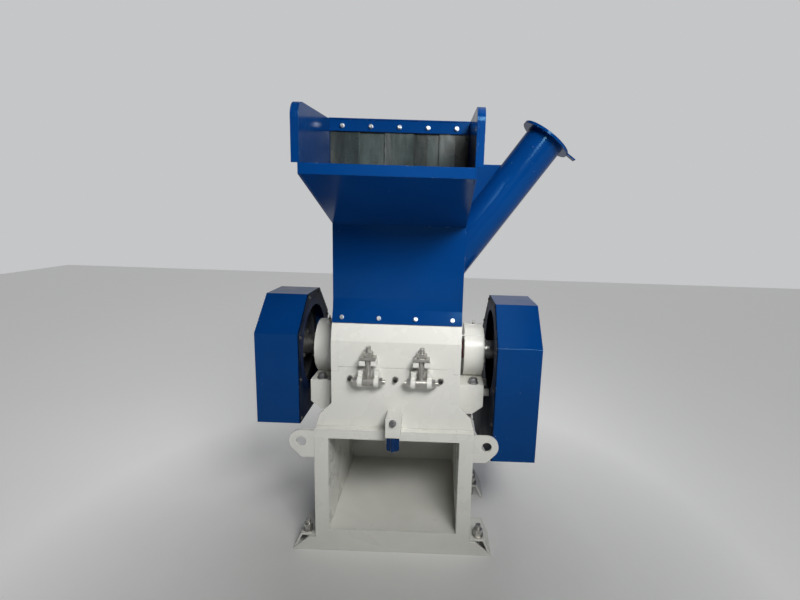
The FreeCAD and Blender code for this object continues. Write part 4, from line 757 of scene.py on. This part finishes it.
grids, rows = [], []
for sign in (-1, 1):
    grids.append(turnedGrid(np.array((sign * cover["x"], *cover["centre"])) * mm, (sign, 0, 0), coverRings(cover), 64))
    rows.append((spotsRound(sign * (cover["x"] + 1000 * cover["thickness"]), cover["centre"], cover["screwReach"],
                            cover["screwCount"], cover["screwTurn"]), (sign, 0, 0)))
joinGrids("bearing_covers", grids, "white_paint")
placeScrews("bearing_cover_screws", rows, hexBolt(**cover["screws"]))
nippleRings = [(sunk, 0), (sunk, 0.006, 1), (0.005, 0.006, 1), (0.006, 0.0042), (0.011, 0.0036), (0.0125, 0.0025),
               (0.014, 0.0033), (0.0155, 0.0028), (0.0165, 0.0012), (0.0165, 0)]
placeScrews("grease_nipples", [([(-309, 260, 907), (309, 260, 907)], (0, 0, 1))], nippleRings)
print("flywheel and bearing covers made")


# weld seams: white ones on the cabinet and chamber, blue ones on the hopper and its tube
weld = {"lug": 3.2, "ear": 2.2, "keeper": 2.2, "pedestal": 3.6, "foot": 2.8, "bracket": 2.2, "stand": 3.2, "tube": 4.2,
        "web": 2.2, "tray": 1.8, "cap": 3}


def seams(name, paths, finish):
    grids = [weldGrid(np.array(path, float) * mm, radius * mm) for path, radius in paths]
    joinGrids(name, grids, finish, smoothAngle=70)


# seams of the lugs, pedestals, feet, bracket and motor stand: each lies at x from (y, z) to (y, z) on both sides
sideSeams = (("lug", 313, (12.8, 415), (12.8, 520)), ("pedestal", 250.8, (104.5, 570), (104.5, 688)),
             ("pedestal", 250.8, (415.5, 570), (415.5, 688)), ("foot", 312.8, (12, 66.5), (141, 66.5)),
             ("foot", 312.8, (379, 66.5), (518, 66.5)), ("bracket", 28.6, (30.4, 534), (30.4, 603)),
             ("stand", 200.8, (520.6, 4), (520.6, 166)))
whitePaths = []
for sign in (-1, 1):
    clamp = sign * 101
    whitePaths += [([(sign * x, *start), (sign * x, *end)], weld[kind]) for kind, x, start, end in sideSeams]
    whitePaths += [([(clamp + ear, 30.6, 712), (clamp + ear, 30.6, 770)], weld["ear"]) for ear in (-41, 41)]
    whitePaths += [([(clamp - 32, 30.6, z), (clamp + 32, 30.6, z)], weld["keeper"]) for z in (797.4, 818.6)]
# edge of the bearing caps, where they meet the lower halves: a raised white ridge, which also stands for a highlight
# line across the drums, so in part a painted highlight; the left one is cut short where that line falls in shade
whitePaths += [([(251, 182.5, 876), (346, 182.5, 876)], weld["cap"]),
               ([(-251, 182.5, 876), (-279, 182.5, 876)], weld["cap"])]
seams("cabinet_weld_seams", whitePaths, "white_paint")

# the tube meets the cheek in an ellipse, as wide as the tube and longer by length / run
tube = {"root": (250, 190, 1250), "radius": 75, "run": 300, "rise": 417, "webTop": 1562}
tubeLength = math.hypot(tube["run"], tube["rise"])
turn = np.linspace(0, 2 * np.pi, 121)
rootPath = np.stack([np.full(turn.shape, 251.0), tube["root"][1] + (tube["radius"] + 1) * np.sin(turn),
                     tube["root"][2] + (tube["radius"] + 1) * tubeLength / tube["run"] * np.cos(turn)], -1)
webFoot = tube["root"][2] + tube["radius"] * tubeLength / tube["run"]
webEnd = 250 + (tube["webTop"] - webFoot) * tube["run"] / tube["rise"]
bluePaths = [(rootPath, weld["tube"])]
for side in (-1, 1):
    y = tube["root"][1] + side * 3.2
    bluePaths += [([(250.6, y, webFoot + 6), (250.6, y, tube["webTop"] - 2)], weld["web"]),
                  ([(253, y, webFoot + 4), (webEnd - 3, y, tube["webTop"] - 3)], weld["web"])]
bluePaths.append(([(-243, 74.6, 1320.6), (243, 74.6, 1320.6)], weld["tray"]))
seams("hopper_weld_seams", bluePaths, "blue_paint")
print("welds laid")


# dark flanged screws that hold the bored plates into the guard pans: x, and (y, z) of each
guardScrews = {"shape": {"across": 0.010, "head": 0.0045, "washer": 0.0015},
               "left": (-374.5, [(50, 550), (470, 550), (50, 710), (470, 710), (50, 880), (470, 880), (185, 1012),
                                 (335, 1012)]),
               "right": (384, [(32, 425), (32, 560), (32, 700), (32, 850), (170, 1000), (350, 1000), (500, 868),
                               (625, 757), (760, 633), (925, 470), (925, 260), (800, 206), (570, 246), (353, 316),
                               (180, 372)])}
rows = [([(guardScrews[side][0], *spot) for spot in guardScrews[side][1]], (inward, 0, 0))
        for side, inward in (("left", 1), ("right", -1))]
placeScrews("guard_plate_screws", rows, hexBolt(**guardScrews["shape"]), "dark_bolt")

# threads of the floor anchors above their nuts
anchors = {"x": 350, "y": (36, 405), "from": 96, "to": 113.4, "outer": 0.0107, "pitch": 0.003, "depth": 0.0007}
grids = [threadGrid((sign * anchors["x"] * mm, y * mm, anchors["from"] * mm), (0, 0, 1),
                    (anchors["to"] - anchors["from"]) * mm, anchors) for sign in (-1, 1) for y in anchors["y"]]
joinGrids("anchor_threads", grids, "zinc_steel", smoothAngle=50)


# sieve: a sheet bent on an arc under the rotor and pierced in rows, with a flat lip at each side
sieve = {"centre": (260, 795), "inner": 158, "outer": 164, "halfArc": 58.3, "halfLength": 221.8, "columns": 26,
         "rows": 20, "hole": 6.2, "lipLow": 706, "lipTop": 712, "lipFrom": 43.5}


def sieveGrids(v):
    # each cell is a ring of faces from a square of 8 points to a circle of 8; the circle is joined through the sheet
    turn = np.arange(8) * np.pi / 4
    square = np.stack([np.cos(turn), np.sin(turn)], -1)
    square /= np.abs(square).max(1, keepdims=True)
    circle = np.stack([np.cos(turn), np.sin(turn)], -1)
    along = np.linspace(-v["halfLength"], v["halfLength"], v["columns"] + 1)
    arc = np.radians(np.linspace(-v["halfArc"], v["halfArc"], v["rows"] + 1))
    stepX, stepArc = along[1] - along[0], arc[1] - arc[0]
    middleX, middleArc = np.meshgrid((along[:-1] + along[1:]) / 2, (arc[:-1] + arc[1:]) / 2, indexing="ij")
    middle = np.stack([middleX.ravel(), middleArc.ravel()], -1)[:, None]
    mean = (v["inner"] + v["outer"]) / 2
    corner = middle + square * (stepX / 2, stepArc / 2)
    rim = middle + circle * (v["hole"], v["hole"] / mean)

    def bend(flat, reach):
        return np.stack([flat[..., 0], v["centre"][0] + reach * np.sin(flat[..., 1]),
                         v["centre"][1] - reach * np.cos(flat[..., 1])], -1)

    loops = [bend(corner, v["inner"]), bend(rim, v["inner"]), bend(rim, v["outer"]), bend(corner, v["outer"])]
    return [np.stack(loops, axis=1) * mm]


def sieveEdges(v):
    # the four cut edges of the sheet, each a row of faces from its inner to its outer side
    along = np.linspace(-v["halfLength"], v["halfLength"], v["columns"] * 2 + 1)
    arc = np.radians(np.linspace(-v["halfArc"], v["halfArc"], v["rows"] * 2 + 1))
    lines = [(np.full(arc.shape, x), arc) for x in (along[0], along[-1])]
    lines += [(along, np.full(along.shape, end)) for end in (arc[0], arc[-1])]
    edges = []
    for x, turn in lines:
        side = [np.stack([x, v["centre"][0] + reach * np.sin(turn), v["centre"][1] - reach * np.cos(turn)], -1)
                for reach in (v["inner"], v["outer"])]
        edges.append(np.stack(side, 0)[None] * mm)
    return edges


def lipGrids(v):
    mean = (v["inner"] + v["outer"]) / 2
    reach = math.sqrt(mean ** 2 - (v["centre"][1] - v["lipTop"]) ** 2)
    grids = []
    for sign in (-1, 1):
        near, far = v["centre"][0] + sign * (reach + 1), v["centre"][0] + sign * (v["centre"][0] - v["lipFrom"])
        ring = np.array([(near, v["lipLow"]), (far, v["lipLow"]), (far, v["lipTop"]), (near, v["lipTop"])])
        heart = np.broadcast_to(ring.mean(0), ring.shape)
        rows = []
        for x, section in ((-1, heart), (-1, ring), (1, ring), (1, heart)):
            rows.append(np.column_stack([np.full(4, x * v["halfLength"]), section]))
        grids.append(np.array(rows)[None] * mm)
    return grids


sievePlate = joinGrids("pierced_sieve", sieveGrids(sieve) + lipGrids(sieve), "bright_steel", sheets=sieveEdges(sieve))
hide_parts("screen")
print("sieve pierced")


# motor: cooling fins round the barrel, fan cover with its wire guard, end shield, and the lid of the terminal box
motor = {"centre": (800, 330), "radius": 148.5, "finTop": 157.5, "finWidth": 2.6, "from": -108, "to": 262, "fins": 48,
         "footAngle": 58, "boxAngle": 24, "boxFrom": -46, "boxTo": 96}


def finGrids(v):
    # a fin is a thin tapered slab on a ray from the axis, its four corners carried from end to end
    angles = np.degrees(np.linspace(0, 2 * np.pi, v["fins"], endpoint=False)) + 3.75
    away = np.abs((angles + 180) % 360 - 180)
    fins = []
    for angle, fromTop in zip(np.radians(angles), away):
        if 180 - fromTop < v["footAngle"]:
            continue
        runs = [(v["from"], v["to"])]
        if fromTop < v["boxAngle"]:
            runs = [(v["from"], v["boxFrom"]), (v["boxTo"], v["to"])]
        outward = np.array([0, math.sin(angle), math.cos(angle)])
        across = np.array([0, math.cos(angle), -math.sin(angle)])
        section = [outward * reach + across * side * v["finWidth"] / 2 * thin
                   for reach, side, thin in ((v["radius"], -1, 1.25), (v["finTop"], -1, 0.8), (v["finTop"], 1, 0.8),
                                             (v["radius"], 1, 1.25))]
        section = np.array(section) + (0, *v["centre"])
        heart = np.broadcast_to(section.mean(0), section.shape)
        for low, high in runs:
            fins.append(np.stack([heart + (low, 0, 0), section + (low, 0, 0), section + (high, 0, 0),
                                  heart + (high, 0, 0)]))
    return [np.array(fins) * mm]


joinGrids("motor_cooling_fins", finGrids(motor), "motor_paint")
motorAxis = np.array((0, *motor["centre"])) * mm
hoodRings = [(-0.188, 0.1505), (-0.112, 0.1505), (-0.110, 0.1525), (-0.112, 0.1550), (-0.186, 0.1550),
             (-0.194, 0.1515), (-0.1975, 0.1440), (-0.1975, 0.1360), (-0.1945, 0.1360), (-0.1930, 0.1430),
             (-0.188, 0.1480), (-0.188, 0.1505)]
shieldRings = [(0.2995, 0), (0.2995, 0.146), (0.303, 0.146), (0.3045, 0.1445), (0.3045, 0.118), (0.3035, 0.112),
               (0.3035, 0.072), (0.307, 0.066), (0.307, 0.034), (0.3035, 0.031), (0.3035, 0)]
joinGrids("motor_end_covers", [turnedGrid(motorAxis, (1, 0, 0), rings, 96) for rings in (hoodRings, shieldRings)],
          "motor_paint")


def ringGrid(centre, reach, thick, columns, stations):
    # a torus that faces along x: a small circle of the wire's radius carried round the large one
    aim, side, other = crossAxes((1, 0, 0))
    large = np.linspace(0, 2 * np.pi, stations + 1)[:, None, None]
    small = np.linspace(0, 2 * np.pi, columns, endpoint=False)[None, :, None]
    outward = np.cos(large) * side + np.sin(large) * other
    return (np.asarray(centre, float) + (reach + thick * np.cos(small)) * outward + thick * np.sin(small) * aim)[None]


# the fan's wire guard: rings, and spokes that are plain wires, closed at both ends
wires = {"x": -194.6, "reach": (28, 50, 72, 94, 116, 136), "wire": 1.6, "spokes": 8, "spokeTurn": 0.2,
         "spokeEnds": (26, 139)}
grids = [ringGrid(np.array((wires["x"], *motor["centre"])) * mm, reach * mm, wires["wire"] * mm, 8, 72)
         for reach in wires["reach"]]
for angle in np.linspace(0, 2 * np.pi, wires["spokes"], endpoint=False) + wires["spokeTurn"]:
    ends = [(wires["x"] + wires["wire"], motor["centre"][0] + reach * math.cos(angle),
             motor["centre"][1] + reach * math.sin(angle)) for reach in wires["spokeEnds"]]
    grids.append(weldGrid(np.array(ends) * mm, wires["wire"] * mm, pitch=1e9, stations=12))
joinGrids("fan_wire_guard", grids, "dark_bolt")
hub = {"place": (-190, *motor["centre"]),
       "rings": [(-0.0005, 0), (-0.0005, 0.022), (0.002, 0.022), (0.003, 0.020), (0.003, 0)]}
joinGrids("fan_hub_disc", [turnedGrid(np.array(hub["place"]) * mm, (-1, 0, 0), hub["rings"], 40)], "motor_paint")
shieldScrews = {"shape": {"across": 0.014, "head": 0.007, "washer": 0.002}, "x": 304.3, "reach": 131, "count": 4}
spots = spotsRound(shieldScrews["x"], motor["centre"], shieldScrews["reach"], shieldScrews["count"], math.pi / 4)
placeScrews("motor_shield_screws", [(spots, (1, 0, 0))], hexBolt(**shieldScrews["shape"]))


def softBlock(centre, half, heights, corner=9.0):
    # rows of a rounded rectangle |x / a|^n + |y / b|^n = 1, each at its height with its own inset; 99 closes it
    angle = np.linspace(0, 2 * np.pi, 64, endpoint=False)
    reach = (np.abs(np.cos(angle)) ** corner + np.abs(np.sin(angle)) ** corner) ** (-1 / corner)
    rows = []
    for height, inset in heights:
        wide, deep = max(half[0] - inset, 0), max(half[1] - inset, 0)
        rows.append(np.stack([centre[0] + wide * reach * np.cos(angle), centre[1] + deep * reach * np.sin(angle),
                              np.full(64, height)], -1))
    return np.array(rows)[None] * mm


lid = {"centre": (25, 800), "half": (66.5, 56.5), "low": 520, "top": 531.6, "screws": (56, 46, 531.2)}
lidRows = [(lid["low"], 99), (lid["low"], 0), (lid["top"] - 2.5, 0), (lid["top"] - 0.7, 0.8), (lid["top"], 3),
           (lid["top"], 99)]
joinGrids("terminal_box_lid", [softBlock(lid["centre"], lid["half"], lidRows)], "motor_paint")
screwX, screwY, screwZ = lid["screws"]
spots = [(lid["centre"][0] + a * screwX, lid["centre"][1] + b * screwY, screwZ) for a in (-1, 1) for b in (-1, 1)]
placeScrews("terminal_lid_screws", [(spots, (0, 0, 1))], socketScrew(0.0042, 0.0022, 0.0022))
glandRings = [(sunk, 0), (sunk, 0.0165, 1), (0.006, 0.0165, 1), (0.0075, 0.0145), (0.011, 0.0145), (0.011, 0.016, 1),
              (0.020, 0.016, 1), (0.022, 0.0135), (0.025, 0.0095), (0.0255, 0.0085), (0.0255, 0)]
placeScrews("cable_glands", [([(-40, 780, 488), (-40, 822, 488)], (-1, 0, 0))], glandRings, "dark_bolt")
eye = {"foot": (175, 800, 480), "rise": 6, "ring": 15, "wire": 4.5,
       "collar": [(-0.002, 0), (-0.002, 0.013), (0.004, 0.013), (0.008, 0.008), (0.012, 0.006), (0.012, 0)]}
ringCentre = np.array(eye["foot"]) + (0, 0, eye["rise"] + eye["ring"] + eye["wire"])
joinGrids("motor_eye_bolt",
          [turnedGrid(np.array(eye["foot"]) * mm, (0, 0, 1), eye["collar"]),
           ringGrid(ringCentre * mm, eye["ring"] * mm, eye["wire"] * mm, 14, 48)], "zinc_steel")
print("motor dressed")
